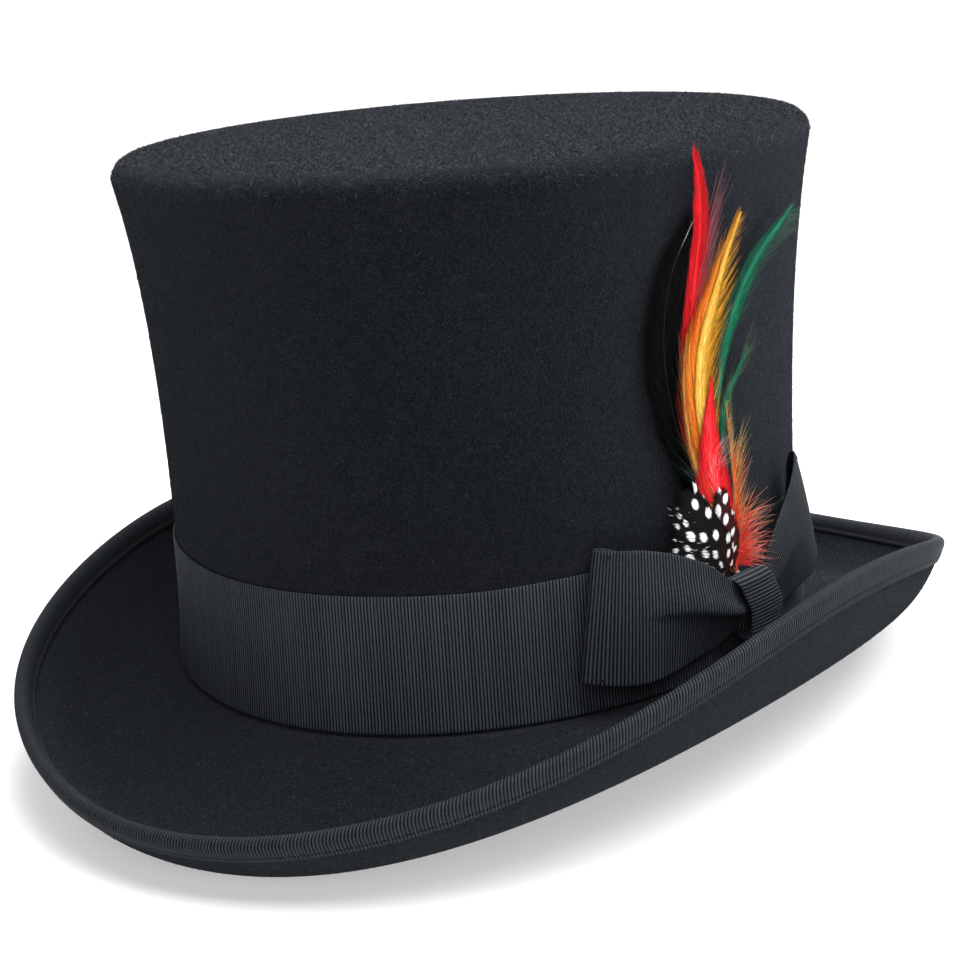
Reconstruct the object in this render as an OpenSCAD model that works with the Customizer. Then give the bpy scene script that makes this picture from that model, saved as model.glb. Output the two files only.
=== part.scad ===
// Tall felt top hat with a bell crown, a rolled brim, a ribbon band with a bow, and a feather plume that pulls out.
// Millimetres. +Z up, the front of the hat towards -Y, the wearer's left (bow and plume) towards +X.
// The origin is under the middle of the head opening, at the lowest point of the brim.

/* [Crown] */
// Half length of the crown at its waist, front to back
crown_a = 100.5; // [96:0.5:105]
// Half width of the crown at its waist, side to side
crown_b = 92; // [88:0.5:97]
// Height of the crown above the brim break
crown_h = 150; // [145:1:160]
// How far the tip stands out beyond the waist at front and back
flare_a = 9.5; // [8:0.5:11]
// How far the tip stands out beyond the waist at the sides
flare_b = 8; // [7:0.5:9]
// Radius of the soft edge round the tip
tip_r = 6; // [5:0.5:8]
// Thickness of the felt
felt_t = 2.8; // [2.4:0.1:3.2]

/* [Brim] */
// Half length of the brim over its edge, front to back
brim_a = 159; // [154:1:164]
// Half width of the brim over its edge, side to side
brim_b = 123.8; // [120:0.1:128]
// Mean height of the brim's edge above the break
edge_mean = 8.2; // [6:0.1:10]
// How far the edge rises at the sides and drops at front and back
edge_roll = 18.3; // [16:0.1:21]
// Downward slope of the brim where it leaves the crown, all round
slope_mean = 0.44; // [0.38:0.01:0.5]
// Extra slope at front and back, less at the sides
slope_swing = 0.31; // [0.2:0.01:0.36]
// Width of each leg of the edge binding, as a share of the brim's width
bind_share = 0.06; // [0.05:0.001:0.07]

/* [Band and bow] */
// Width of the hat band ribbon
band_w = 38; // [36:1:44]
// Thickness of the grosgrain ribbon
ribbon_t = 0.7; // [0.5:0.1:0.9]
// Bearing of the bow's knot, degrees from the front towards the wearer's left
knot_at = 87; // [86:0.5:88]
// Length of the knot along the band
knot_w = 15; // [14:0.5:16]

/* [Lining] */
// Height of the sweatband
sweat_h = 34; // [30:1:38]
// Thickness of the sweatband
sweat_t = 1.2; // [1:0.1:1.4]
// Thickness of the satin lining
lining_t = 0.4; // [0.3:0.05:0.5]

/* [Plume] */
// Diameter of the bundle of quills that slides behind the knot
quill_d = 2; // [1.6:0.1:2]
// Thickness of a feather's vane
vane_t = 0.6; // [0.5:0.05:0.7]

/* [Hidden] */

felt_col   = [0.05, 0.055, 0.065];
ribbon_col = [0.07, 0.08, 0.10];

N = 72;                 // facets round the hat
gap = 0.15;             // room between two layers of cloth
flare_p = 3.6;          // the crown is straight below and flares late, like a bell
foot_flare = 2;         // the crown's foot turns out towards the brim
break_dip = 3;          // the brim break sits lower at front and back
edge_4 = 1.75;          // finer shape of the edge line
edge_6 = -0.55;
edge_s1 = 0.3;          // the brim was shaped by hand: the bow's side stands higher than the other
edge_s3 = -1.95;
lean = 2;               // and the edge sits a little towards that side
plan_4 = -1.2;          // the brim is a little fuller than an ellipse at the corners
plan_6 = 0.35;
slope_4 = 0.02;
curl_mean = 5;          // how tightly the brim's edge curls up
curl_swing = -0.57;
curl_4 = -0.48;
foot_flat = 0.4;        // the felt is pressed flat where the hat stands

// ---- the crown's surface -------------------------------------------------
// f: bearing in degrees from the front, v: height above the break, n: distance out from the felt
function cl(t) = min(max(t, 0), 1);
function foot(t) = foot_flare * pow(1 - cl(t), 9);
function semi_a(v) = crown_a + flare_a * pow(cl(v / crown_h), flare_p) + foot(v / crown_h);
function semi_b(v) = crown_b + flare_b * pow(cl(v / crown_h), flare_p) + foot(v / crown_h);
function brk(f) = -break_dip * pow(cos(f), 2);
function lvl(f, v) = z0 + brk(f) * (1 - cl(v / crown_h)) + v;
function on_crown(f, v, n) = [(semi_b(v) + n) * sin(f), -(semi_a(v) + n) * cos(f), lvl(f, v)];

// ---- the brim's section --------------------------------------------------
function edge_k(f) = 1 + (plan_4 * (cos(4 * f) - 1) + plan_6 * (cos(6 * f) - cos(2 * f))) / 100;
function edge_xy(f) = [brim_b * edge_k(f) * sin(f) + lean, -brim_a * edge_k(f) * cos(f)];
function edge_z(f) = edge_mean - edge_roll * cos(2 * f) + edge_4 * cos(4 * f) + edge_6 * cos(6 * f) + edge_s1 * sin(f) + edge_s3 * sin(3 * f);
function break_xy(f) = [semi_b(0) * sin(f), -semi_a(0) * cos(f)];
function brim_w(f) = norm(edge_xy(f) - break_xy(f));
function brim_dir(f) = (edge_xy(f) - break_xy(f)) / brim_w(f);
function slope(f) = slope_mean + slope_swing * cos(2 * f) + slope_4 * cos(4 * f);
function curl(f) = curl_mean + curl_swing * cos(2 * f) + curl_4 * cos(4 * f);
function rise(f) = edge_z(f) - brk(f) + slope(f) * brim_w(f);
function sec_z(f, s) = brk(f) - slope(f) * brim_w(f) * s + rise(f) * pow(s, curl(f));
function sec_d(f, s) = -slope(f) + rise(f) * curl(f) * pow(s, curl(f) - 1) / brim_w(f);
// a point at share s of the brim's width, d out along the upper side's normal
function on_brim(f, s, d) =
    let (g = sec_d(f, s), l = sqrt(1 + g * g), r = brim_w(f) * s - d * g / l, p = break_xy(f) + brim_dir(f) * r)
    [p[0], p[1], sec_z(f, s) + d / l];
// a point a along the section's slope and d out along its normal from share s
function off_brim(f, s, d, a) =
    let (g = sec_d(f, s), l = sqrt(1 + g * g), q = on_brim(f, s, d))
    [q[0] + brim_dir(f)[0] * a / l, q[1] + brim_dir(f)[1] * a / l, q[2] + a * g / l];
low_raw = min([for (s = [0.4:0.01:1]) on_brim(0, s, -felt_t)[2]]);
z0 = -low_raw - foot_flat;
function up(p) = [p[0], p[1], p[2] + z0];
function stand(p) = [p[0], p[1], max(p[2], 0)];

felt_end = 0.982;
bind_from = 1 - bind_share;

// ---- solids from rings of points -----------------------------------------
// rows: one closed profile for each step round the hat
module ring_solid(rows) {
    n = len(rows);
    m = len(rows[0]);
    polyhedron(points = [for (r = rows) each r],
        faces = [for (i = [0:n - 1], j = [0:m - 1])
            let (a = i * m + j, b = i * m + (j + 1) % m, c = ((i + 1) % n) * m + (j + 1) % m, d = ((i + 1) % n) * m + j)
            each [[a, b, c], [a, c, d]]]);
}
// rows: one open profile for each step round the hat, closed by a pole at each end
module cup_solid(rows, first, last) {
    n = len(rows);
    m = len(rows[0]);
    polyhedron(points = concat([for (r = rows) each r], [first, last]),
        faces = concat(
            [for (i = [0:n - 1], j = [0:m - 2])
                let (a = i * m + j, b = i * m + j + 1, c = ((i + 1) % n) * m + j + 1, d = ((i + 1) % n) * m + j)
                each [[a, b, c], [a, c, d]]],
            [for (i = [0:n - 1]) [n * m, i * m, ((i + 1) % n) * m]],
            [for (i = [0:n - 1]) [n * m + 1, ((i + 1) % n) * m + m - 1, i * m + m - 1]]));
}
// rows: closed sections along a path, capped at both ends
module loft_solid(rows) {
    n = len(rows);
    m = len(rows[0]);
    polyhedron(points = [for (r = rows) each r],
        faces = concat(
            [for (i = [0:n - 2], j = [0:m - 1])
                let (a = i * m + j, b = i * m + (j + 1) % m, c = (i + 1) * m + (j + 1) % m, d = (i + 1) * m + j)
                each [[a, b, c], [a, c, d]]],
            [[for (j = [m - 1:-1:0]) j]],
            [[for (j = [0:m - 1]) (n - 1) * m + j]]));
}
function turn(i) = 360 * i / N;

// ---- felt ----------------------------------------------------------------
side_v = [0, 6, 14, 26, 44, 70, 95, 115, 130, 140];
function tip_ring(f, th, d) =      // the soft edge, th from 0 at the side to 90 on the tip, d in from the outside
    let (v = crown_h - tip_r)
    [(semi_b(v) - tip_r + (tip_r - d) * cos(th)) * sin(f), -(semi_a(v) - tip_r + (tip_r - d) * cos(th)) * cos(f),
     z0 + crown_h - tip_r + (tip_r - d) * sin(th)];
module felt_crown() {
    color(felt_col)
    cup_solid([for (i = [0:N - 1]) let (f = turn(i))
        concat(
            [for (th = [90, 68, 45, 22]) tip_ring(f, th, 0)],
            [on_crown(f, crown_h - tip_r, 0)],
            [for (k = [len(side_v) - 1:-1:0]) on_crown(f, side_v[k], 0)],
            [for (v = side_v) on_crown(f, v, -felt_t)],
            [on_crown(f, crown_h - tip_r, -felt_t)],
            [for (th = [30, 60, 90]) tip_ring(f, th, felt_t)])],
        [0, 0, z0 + crown_h], [0, 0, z0 + crown_h - felt_t]);
}

brim_s = [0, 0.12, 0.26, 0.4, 0.52, 0.62, 0.7, 0.77, 0.83, 0.88, 0.92, 0.955, felt_end];
module felt_brim() {
    color(felt_col)
    ring_solid([for (i = [0:N - 1]) let (f = turn(i), c = up(off_brim(f, felt_end, -felt_t / 2, 1.1)))
        concat(
            [let (p = on_crown(f, 0, -felt_t)) [p[0], p[1], p[2] - gap]],
            [for (s = brim_s) let (p = up(on_brim(f, s, 0))) s == 0 ? [p[0], p[1], p[2] - gap] : p],
            [c],
            [for (k = [len(brim_s) - 1:-1:1]) stand(up(on_brim(f, brim_s[k], -felt_t)))],
            [let (p = on_crown(f, 0, -felt_t)) [p[0], p[1], p[2] - gap - felt_t]])]);
}

// ---- ribbon --------------------------------------------------------------
module brim_binding() {
    color(ribbon_col)
    ring_solid([for (i = [0:N - 1]) let (f = turn(i), h = felt_t / 2, o = gap + ribbon_t)
        concat(
            [for (s = [bind_from, (bind_from + felt_end) / 2, felt_end]) up(on_brim(f, s, o))],
            [for (a = [60, 90, 120]) up(off_brim(f, felt_end, -h + (h + o) * cos(a), (h + o) * sin(a)))],
            [for (s = [felt_end, (bind_from + felt_end) / 2, bind_from]) up(on_brim(f, s, -felt_t - o))],
            [for (s = [bind_from, (bind_from + felt_end) / 2, felt_end]) up(on_brim(f, s, -felt_t - gap))],
            [for (a = [120, 90, 60]) up(off_brim(f, felt_end, -h + (h + gap) * cos(a), (h + gap) * sin(a)))],
            [for (s = [felt_end, (bind_from + felt_end) / 2, bind_from]) up(on_brim(f, s, gap))])]);
}
module binding_thread() {
    color([0.03, 0.03, 0.04])
    ring_solid([for (i = [0:N - 1]) let (f = turn(i))
        [for (a = [0:60:300])
            up(off_brim(f, bind_from + 0.017, -felt_t - gap - ribbon_t - 0.28 + 0.2 * cos(a), 0.2 * sin(a)))]]);
}
band_v = [0.6, 8, 18, 29, band_w + 0.6];
module hat_band() {
    color(ribbon_col)
    ring_solid([for (i = [0:N - 1]) let (f = turn(i))
        concat([for (k = [len(band_v) - 1:-1:0]) on_crown(f, band_v[k], gap + ribbon_t)],
               [for (v = band_v) on_crown(f, v, gap)])]);
}

// a bow loop: st holds [low bearing, low height, high bearing, high height, inner n, outer n]
function loop_sec(s) =
    let (nm = (s[4] + s[5]) / 2, q = function(t, n) on_crown(s[0] + (s[2] - s[0]) * t, s[1] + (s[3] - s[1]) * t, n))
    [q(0.03, s[4]), q(0.5, s[4]), q(0.97, s[4]), q(1, nm), q(0.97, s[5]), q(0.5, s[5]), q(0.03, s[5]), q(0, nm)];
front_loop = [[84.8, 14, 84.8, 27, 7.7, 9.5], [82.3, 12.8, 82.3, 28, 7.8, 10], [80.4, 10.5, 80.2, 29.8, 6.8, 10.9],
              [76.5, 7.5, 76.8, 34.8, 5.2, 11.4], [71, 7, 71, 40.3, 3.6, 11], [64, 7, 64, 44.5, 2.3, 10],
              [58, 8.5, 58.4, 47.4, 1.6, 8], [55, 10, 56.6, 48, 2.2, 6]];
rear_loop = [[89.2, 14, 89.2, 27, 7.7, 9.5], [91.7, 12.8, 91.7, 28, 7.8, 10], [94.2, 12, 93.2, 30.5, 6.8, 10.9],
             [99, 13.5, 95.5, 38, 5.2, 11.4], [105, 15, 98.5, 45, 3.6, 11], [111, 16.5, 101.5, 51, 2.3, 10],
             [115.6, 18, 104, 55, 1.6, 8], [117.6, 19.5, 105.8, 56, 2.2, 6]];
module bow_front_loop() { color(ribbon_col) loft_solid([for (s = front_loop) loop_sec(s)]); }
module bow_rear_loop() { color(ribbon_col) loft_solid([for (k = [len(rear_loop) - 1:-1:0]) loop_sec(rear_loop[k])]); }

// the knot: a ribbon sleeve round the bow's waist, straight along the crown's tangent
knot_n = 6.5;           // the quills pass between the band and the knot
knot_xy = let (p = on_crown(knot_at, 20, 0)) [p[0], p[1]];
function out_turn(f) = atan2(-crown_b * cos(f), crown_a * sin(f)); // heading of the outward normal, from +X towards +Y
function round_rect(x0, x1, y0, y1, r, k) = [for (c = [[x1 - r, y1 - r, 0], [x0 + r, y1 - r, 90], [x0 + r, y0 + r, 180], [x1 - r, y0 + r, 270]],
    i = [0:k]) [c[0] + r * cos(c[2] + 90 * i / k), c[1] + r * sin(c[2] + 90 * i / k)]];
module at_knot() {
    // local x: outwards, local y: along the band, local z: up
    translate([knot_xy[0], knot_xy[1], z0]) rotate([0, 0, out_turn(knot_at)]) children();
}
module bow_knot() {
    color(ribbon_col)
    at_knot() translate([0, knot_w / 2, 0]) rotate([90, 0, 0]) linear_extrude(knot_w)
        difference() {
            polygon(round_rect(knot_n, knot_n + 4.6, 10.6, 30.2, 2, 5));
            polygon(round_rect(knot_n + ribbon_t, knot_n + 4.6 - ribbon_t, 10.6 + ribbon_t, 30.2 - ribbon_t, 1.3, 5));
        }
}
// short bar tacks that hold the loops' outer corners down
module bow_tacks() {
    color([0.03, 0.03, 0.04])
    for (t = [[57.4, 44, 8.3], [56.6, 12.8, 7.9], [104.6, 51.4, 9.1], [114.6, 21.6, 8.8]])
        let (p = on_crown(t[0], t[1], t[2]))
        translate(p) rotate([0, 0, out_turn(t[0])]) rotate([90, 0, 0]) cylinder(d = 0.6, h = 3, center = true, $fn = 24);
}

// ---- inside --------------------------------------------------------------
sweat_v = [-1.5, 6, 16, sweat_h];
module sweatband() {
    color([0.06, 0.05, 0.045])
    ring_solid([for (i = [0:N - 1]) let (f = turn(i), o = -felt_t - 2 * gap - lining_t)
        concat([for (k = [len(sweat_v) - 1:-1:0]) on_crown(f, sweat_v[k], o)],
               [for (v = sweat_v) on_crown(f, v, o - sweat_t)])]);
}
module sweatband_thread() {
    color([0.1, 0.1, 0.1])
    ring_solid([for (i = [0:N - 1]) let (f = turn(i), o = -felt_t - 2 * gap - lining_t - sweat_t - 0.3)
        [for (a = [300:-60:0]) let (p = on_crown(f, 3, o + 0.2 * cos(a))) [p[0], p[1], p[2] + 0.2 * sin(a)]]]);
}
lining_v = [18, 40, 70, 100, 124, crown_h - tip_r - 1];
module lining_side() {
    color([0.08, 0.08, 0.09])
    ring_solid([for (i = [0:N - 1]) let (f = turn(i), o = -felt_t - gap)
        concat([for (k = [len(lining_v) - 1:-1:0]) on_crown(f, lining_v[k], o)],
               [for (v = lining_v) on_crown(f, v, o - lining_t)])]);
}
module lining_tip() {
    color([0.08, 0.08, 0.09])
    translate([0, 0, z0 + crown_h - felt_t - 0.4 - lining_t]) linear_extrude(lining_t)
        polygon([for (i = [0:N - 1]) let (f = turn(i), v = crown_h - tip_r)
            [(semi_b(v) - tip_r - 0.6) * sin(f), -(semi_a(v) - tip_r - 0.6) * cos(f)]]);
}

// ---- plume ---------------------------------------------------------------
// The quills stand behind the knot and lean out and forward; the plume pulls out along them.
stem_f = 85.5;
stem_lean = 8;          // out from the crown
stem_fore = 6;          // towards the front
quill_l = 16;
stem_v0 = 13.5;
module at_stem() {
    // local z: along the quills, local x: out from the crown
    translate(on_crown(stem_f, stem_v0, ribbon_t + 2 * gap + 0.3 + quill_d / 2)) rotate([0, 0, out_turn(stem_f)])
        rotate([stem_fore, stem_lean, 0]) children();
}
module plume_quills() {
    color([0.75, 0.7, 0.6])
    at_stem() cylinder(d = quill_d, h = quill_l, $fn = 32);
}
module plume_wrap() {
    color([0.02, 0.02, 0.02])
    at_stem() translate([0, 0, 9.4]) difference() {
        cylinder(d = quill_d + 0.6, h = 6, $fn = 32);
        translate([0, 0, -1]) cylinder(d = quill_d + 0.06, h = 8, $fn = 32);
    }
}

// a vane: st holds [bearing, height, n, half width]; the section is a flat six-sided lens
function vane_dir(st, i) =
    let (a = st[max(i - 1, 0)], b = st[min(i + 1, len(st) - 1)], d = on_crown(b[0], b[1], b[2]) - on_crown(a[0], a[1], a[2]))
    d / norm(d);
function vane_sec(st, i) =
    let (s = st[i], p = on_crown(s[0], s[1], s[2]), o = [sin(s[0]), -cos(s[0]), 0], d = vane_dir(st, i),
         c = cross(o, d), w = c / norm(c), h = s[3], n = cross(d, w), t = vane_t / 2)
    [p - h * w, p - 0.5 * h * w + t * n, p + 0.5 * h * w + t * n, p + h * w, p + 0.5 * h * w - t * n, p - 0.5 * h * w - t * n];
module vane(st) { loft_solid([for (i = [0:len(st) - 1]) vane_sec(st, i)]); }

black_st = [[83.9, 31.4, 2.8, 0.5], [81.6, 41, 2.6, 0.7], [78, 55, 2.6, 1.5], [74.6, 72, 2.6, 3.6], [72.2, 86, 2.6, 4.6], [71.3, 98, 2.6, 5],
            [71.6, 110, 2.6, 4.6], [73, 120, 2.6, 3.2], [75.2, 127, 2.6, 1.8], [76.6, 131, 2.6, 0.5]];
green_long_st = [[86, 31.4, 2.8, 0.5], [85.2, 43, 2.6, 0.7], [83.6, 62, 2.6, 0.9], [82.6, 78, 2.6, 1.2], [82.8, 88, 2.6, 2], [84, 96, 2.8, 2.6], [85.4, 104, 3, 2.6],
                 [87.8, 111, 3.4, 2.4], [91, 117.4, 3.8, 2], [95, 122.6, 4.4, 1.4], [99, 127, 5, 0.5]];
green_short_st = [[86.5, 31.4, 3.7, 0.5], [86, 43, 3.6, 0.7], [84.6, 60, 3.6, 0.9], [83.4, 74, 3.6, 1.2], [84.4, 81.4, 3.6, 1.6], [86.6, 85.6, 3.6, 1.6], [88.8, 90, 3.6, 0.5]];
red_long_st = [[84.4, 31.4, 3.7, 0.5], [83, 43, 3.6, 0.7], [80.8, 60, 3.6, 1.2], [78.6, 71, 3.6, 2.2], [77, 81, 3.6, 3], [76.2, 91, 3.6, 3.2], [75.8, 102, 3.6, 3.2],
               [76.4, 112, 3.6, 3], [76.8, 122, 3.6, 2.6], [76.6, 131, 3.6, 2.2], [75.8, 140, 3.6, 1.6], [74.8, 147, 3.6, 0.5]];
yellow_st = [[85.2, 31.4, 4.6, 0.5], [83.8, 43, 4.6, 0.7], [81, 60, 4.6, 1.2], [78.6, 73, 4.6, 3], [77.6, 84, 4.6, 4.4], [78, 95, 4.6, 4.6], [79.4, 104, 4.6, 4],
             [81.4, 113, 4.6, 3.2], [83.4, 122, 4.6, 2.2], [85.4, 130, 4.6, 0.5]];
red_short_st = [[85.8, 31.4, 5.5, 0.5], [84.6, 42, 5.6, 1.2], [83, 53, 5.6, 2.6], [82, 62, 5.6, 3.6], [81.2, 71, 5.6, 3.6], [81.4, 80, 5.6, 2.4], [80.8, 87, 5.6, 0.5]];
hackle_left_st = [[83.5, 31.4, 5.4, 0.4], [81.4, 43, 5.6, 0.6], [78.8, 57, 5.6, 0.9], [76.6, 70, 5.6, 1.1], [75.2, 82, 5.6, 1.1], [74.6, 94, 5.6, 0.8], [74.4, 101, 5.6, 0.4]];
hackle_right_st = [[87.2, 31.4, 5.4, 0.4], [87.6, 41, 5.6, 1], [88.2, 50, 5.6, 2.2], [89, 58, 5.6, 2.4], [90, 65, 5.6, 1.6], [90.6, 70, 5.6, 0.5]];
guinea_right_st = [[85.6, 32.4, 6.5, 0.6], [85.2, 36.6, 6.6, 2.6], [84.6, 43, 6.6, 5.2], [84, 49, 6.6, 6], [83.4, 55, 6.6, 4], [83, 58.4, 6.6, 0.8]];
guinea_left_st = [[84.3, 32.4, 7.4, 0.6], [82.6, 36.8, 7.6, 2.4], [79.8, 43.6, 7.6, 5.4], [77.4, 49.2, 7.6, 7], [75.6, 54.6, 7.6, 5], [74.4, 58.6, 7.6, 0.8]];
module feather_black() { color([0.03, 0.03, 0.035]) vane(black_st); }
module feather_green_long() { color([0.05, 0.42, 0.28]) vane(green_long_st); }
module feather_green_short() { color([0.05, 0.38, 0.26]) vane(green_short_st); }
module feather_red_long() { color([0.85, 0.05, 0.07]) vane(red_long_st); }
module feather_red_short() { color([0.9, 0.07, 0.09]) vane(red_short_st); }
module feather_yellow() { color([0.95, 0.65, 0.12]) vane(yellow_st); }
module hackle_left() { color([0.55, 0.5, 0.15]) vane(hackle_left_st); }
module hackle_right() { color([0.8, 0.25, 0.1]) vane(hackle_right_st); }
module guinea_left() { color([0.2, 0.19, 0.19]) vane(guinea_left_st); }
module guinea_right() { color([0.22, 0.19, 0.19]) vane(guinea_right_st); }

felt_crown();
felt_brim();
brim_binding();
binding_thread();
hat_band();
bow_front_loop();
bow_rear_loop();
bow_knot();
bow_tacks();
sweatband();
sweatband_thread();
lining_side();
lining_tip();
plume_quills();
plume_wrap();
feather_black();
feather_green_long();
feather_green_short();
feather_red_long();
feather_red_short();
feather_yellow();
hackle_left();
hackle_right();
guinea_left();
guinea_right();
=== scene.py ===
"""Looks of a tall felt top hat with a ribbon band, a bow and a feather plume."""
import math

import bpy
import numpy as np
from mathutils import Matrix


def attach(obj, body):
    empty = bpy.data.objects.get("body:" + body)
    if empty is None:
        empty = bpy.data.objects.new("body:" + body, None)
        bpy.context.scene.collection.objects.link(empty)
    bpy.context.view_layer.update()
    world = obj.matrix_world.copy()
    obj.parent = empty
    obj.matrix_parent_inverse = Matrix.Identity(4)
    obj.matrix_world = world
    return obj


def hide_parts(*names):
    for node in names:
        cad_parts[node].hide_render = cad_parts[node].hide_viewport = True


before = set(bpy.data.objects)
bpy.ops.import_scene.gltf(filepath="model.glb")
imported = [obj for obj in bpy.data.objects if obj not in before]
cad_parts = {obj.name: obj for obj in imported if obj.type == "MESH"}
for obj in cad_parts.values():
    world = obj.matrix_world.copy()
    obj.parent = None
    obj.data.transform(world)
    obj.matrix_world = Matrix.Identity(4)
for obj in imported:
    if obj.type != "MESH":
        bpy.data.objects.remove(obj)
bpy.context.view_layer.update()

MM = 0.001

# ---------------------------------------------------------------------------
# The hat's shape, in millimetres, as in the CAD source.
# f: bearing in degrees from the front towards the wearer's left, v: height above
# the brim break, n: distance out from the felt, s: share of the brim's width.
# ---------------------------------------------------------------------------
A, B, H = 100.5, 92.0, 150.0
FLARE_A, FLARE_B, FLARE_P, FOOT = 9.5, 8.0, 3.6, 2.0
TIP_R, FELT, GAP, RIBBON = 6.0, 2.8, 0.15, 0.7
BRIM_A, BRIM_B = 159.0, 123.8
FELT_END, BIND_FROM = 0.982, 0.94
LEAN = 2.0  # the brim was shaped by hand and sits a little to one side


def cl(t):
    return np.clip(t, 0.0, 1.0)


def step(a, b, x):
    t = cl((np.asarray(x, float) - a) / (b - a))
    return t * t * (3 - 2 * t)


def semi_a(v):
    t = cl(np.asarray(v, float) / H)
    return A + FLARE_A * t**FLARE_P + FOOT * (1 - t) ** 9


def semi_b(v):
    t = cl(np.asarray(v, float) / H)
    return B + FLARE_B * t**FLARE_P + FOOT * (1 - t) ** 9


def brk(f):
    return -3.0 * np.cos(np.radians(f)) ** 2


def edge_xy(f):
    r = np.radians(f)
    k = 1 + (-1.2 * (np.cos(4 * r) - 1) + 0.35 * (np.cos(6 * r) - np.cos(2 * r))) / 100
    return np.stack([BRIM_B * k * np.sin(r) + LEAN, -BRIM_A * k * np.cos(r)], -1)


def edge_z(f):
    r = np.radians(f)
    return 8.2 - 18.3 * np.cos(2 * r) + 1.75 * np.cos(4 * r) - 0.55 * np.cos(6 * r) + 0.3 * np.sin(r) - 1.95 * np.sin(3 * r)


def brim(f, s, d=0.0, a=0.0):
    """A point at share s of the brim's width, d out along its upper side's normal and a on along its slope."""
    f, s, d, a = np.broadcast_arrays(*[np.asarray(x, float) for x in (f, s, d, a)])
    r = np.radians(f)
    start = np.stack([semi_b(0) * np.sin(r), -semi_a(0) * np.cos(r)], -1)
    way = edge_xy(f) - start
    w = np.linalg.norm(way, axis=-1)
    way = way / w[..., None]
    m = 0.44 + 0.31 * np.cos(2 * r) + 0.02 * np.cos(4 * r)
    c = 5.0 - 0.57 * np.cos(2 * r) - 0.48 * np.cos(4 * r)
    rise = edge_z(f) - brk(f) + m * w
    z = brk(f) - m * w * s + rise * s**c
    g = -m + rise * c * np.maximum(s, 1e-9) ** (c - 1) / w
    ln = np.sqrt(1 + g * g)
    out = w * s - d * g / ln + a / ln
    xy = start + way * out[..., None]
    return np.concatenate([xy, (z + d / ln + a * g / ln + Z0)[..., None]], -1)


Z0 = 0.0
Z0 = -float(brim(0.0, np.arange(0.4, 1.0005, 0.01), -FELT)[:, 2].min()) - 0.4


def on_crown(f, v, n):
    f, v, n = np.broadcast_arrays(*[np.asarray(x, float) for x in (f, v, n)])
    r = np.radians(f)
    return np.stack(
        [(semi_b(v) + n) * np.sin(r), -(semi_a(v) + n) * np.cos(r), Z0 + brk(f) * (1 - cl(v / H)) + v], -1
    )


def waves(seed, x, y, count=7, low=1, high=6, scale=40.0):
    """Soft random relief, about -1 to 1, that closes on itself round the hat; x in degrees, y in mm."""
    g = np.random.default_rng(seed)
    total = 0.0
    for _ in range(count):
        m = g.integers(low, high + 1)
        total = total + g.uniform(0.5, 1) * np.sin(np.radians(m * x) + g.uniform(0, 6.3)) * np.cos(
            y / scale * g.uniform(0.4, 1.6) + g.uniform(0, 6.3)
        )
    return total / (0.6 * count**0.5 * 1.6)


# ---------------------------------------------------------------------------
# Mesh helpers
# ---------------------------------------------------------------------------
def quads(nu, nv, wrap_u=False, wrap_v=False, base=0):
    i, j = np.meshgrid(np.arange(nu if wrap_u else nu - 1), np.arange(nv if wrap_v else nv - 1), indexing="ij")
    i2, j2 = (i + 1) % nu, (j + 1) % nv
    return np.stack([i * nv + j, i * nv + j2, i2 * nv + j2, i2 * nv + j], -1).reshape(-1, 4) + base


def volume(co, faces):
    total = 0.0
    for f in faces:
        for k in range(1, f.shape[1] - 1):
            total += np.einsum("ij,ij->i", co[f[:, 0]], np.cross(co[f[:, k]], co[f[:, k + 1]])).sum() / 6
    return total


def piece(name, co, faces, body, mat, replaces=(), floats=None, vectors=None, colours=None, smooth=True):
    """A closed mesh from points in mm and a list of face arrays, facing outwards, riding on a body."""
    co = np.asarray(co, float).reshape(-1, 3)
    faces = [np.asarray(f, int) for f in faces if len(f)]
    if volume(co, faces) < 0:
        faces = [f[:, ::-1] for f in faces]
    me = bpy.data.meshes.new(name)
    me.vertices.add(len(co))
    me.vertices.foreach_set("co", (co * MM).astype(np.float32).ravel())
    loops = np.concatenate([f.ravel() for f in faces])
    counts = np.concatenate([np.full(len(f), f.shape[1]) for f in faces])
    me.loops.add(len(loops))
    me.loops.foreach_set("vertex_index", loops.astype(np.int32))
    me.polygons.add(len(counts))
    me.polygons.foreach_set("loop_start", np.concatenate([[0], np.cumsum(counts)[:-1]]).astype(np.int32))
    me.update(calc_edges=True)
    for key, kind, word, data in (
        (floats, "FLOAT", "value", 1),
        (vectors, "FLOAT_VECTOR", "vector", 3),
        (colours, "FLOAT_COLOR", "color", 4),
    ):
        for k, values in (key or {}).items():
            at = me.attributes.new(k, kind, "POINT")
            at.data.foreach_set(word, np.asarray(values, np.float32).reshape(-1, data).ravel())
    if smooth:
        me.polygons.foreach_set("use_smooth", np.ones(len(counts), bool))
    me.validate()
    ob = bpy.data.objects.new(name, me)
    bpy.context.scene.collection.objects.link(ob)
    me.materials.append(mat)
    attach(ob, body)
    if replaces:
        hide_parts(*replaces)
    return ob


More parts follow.
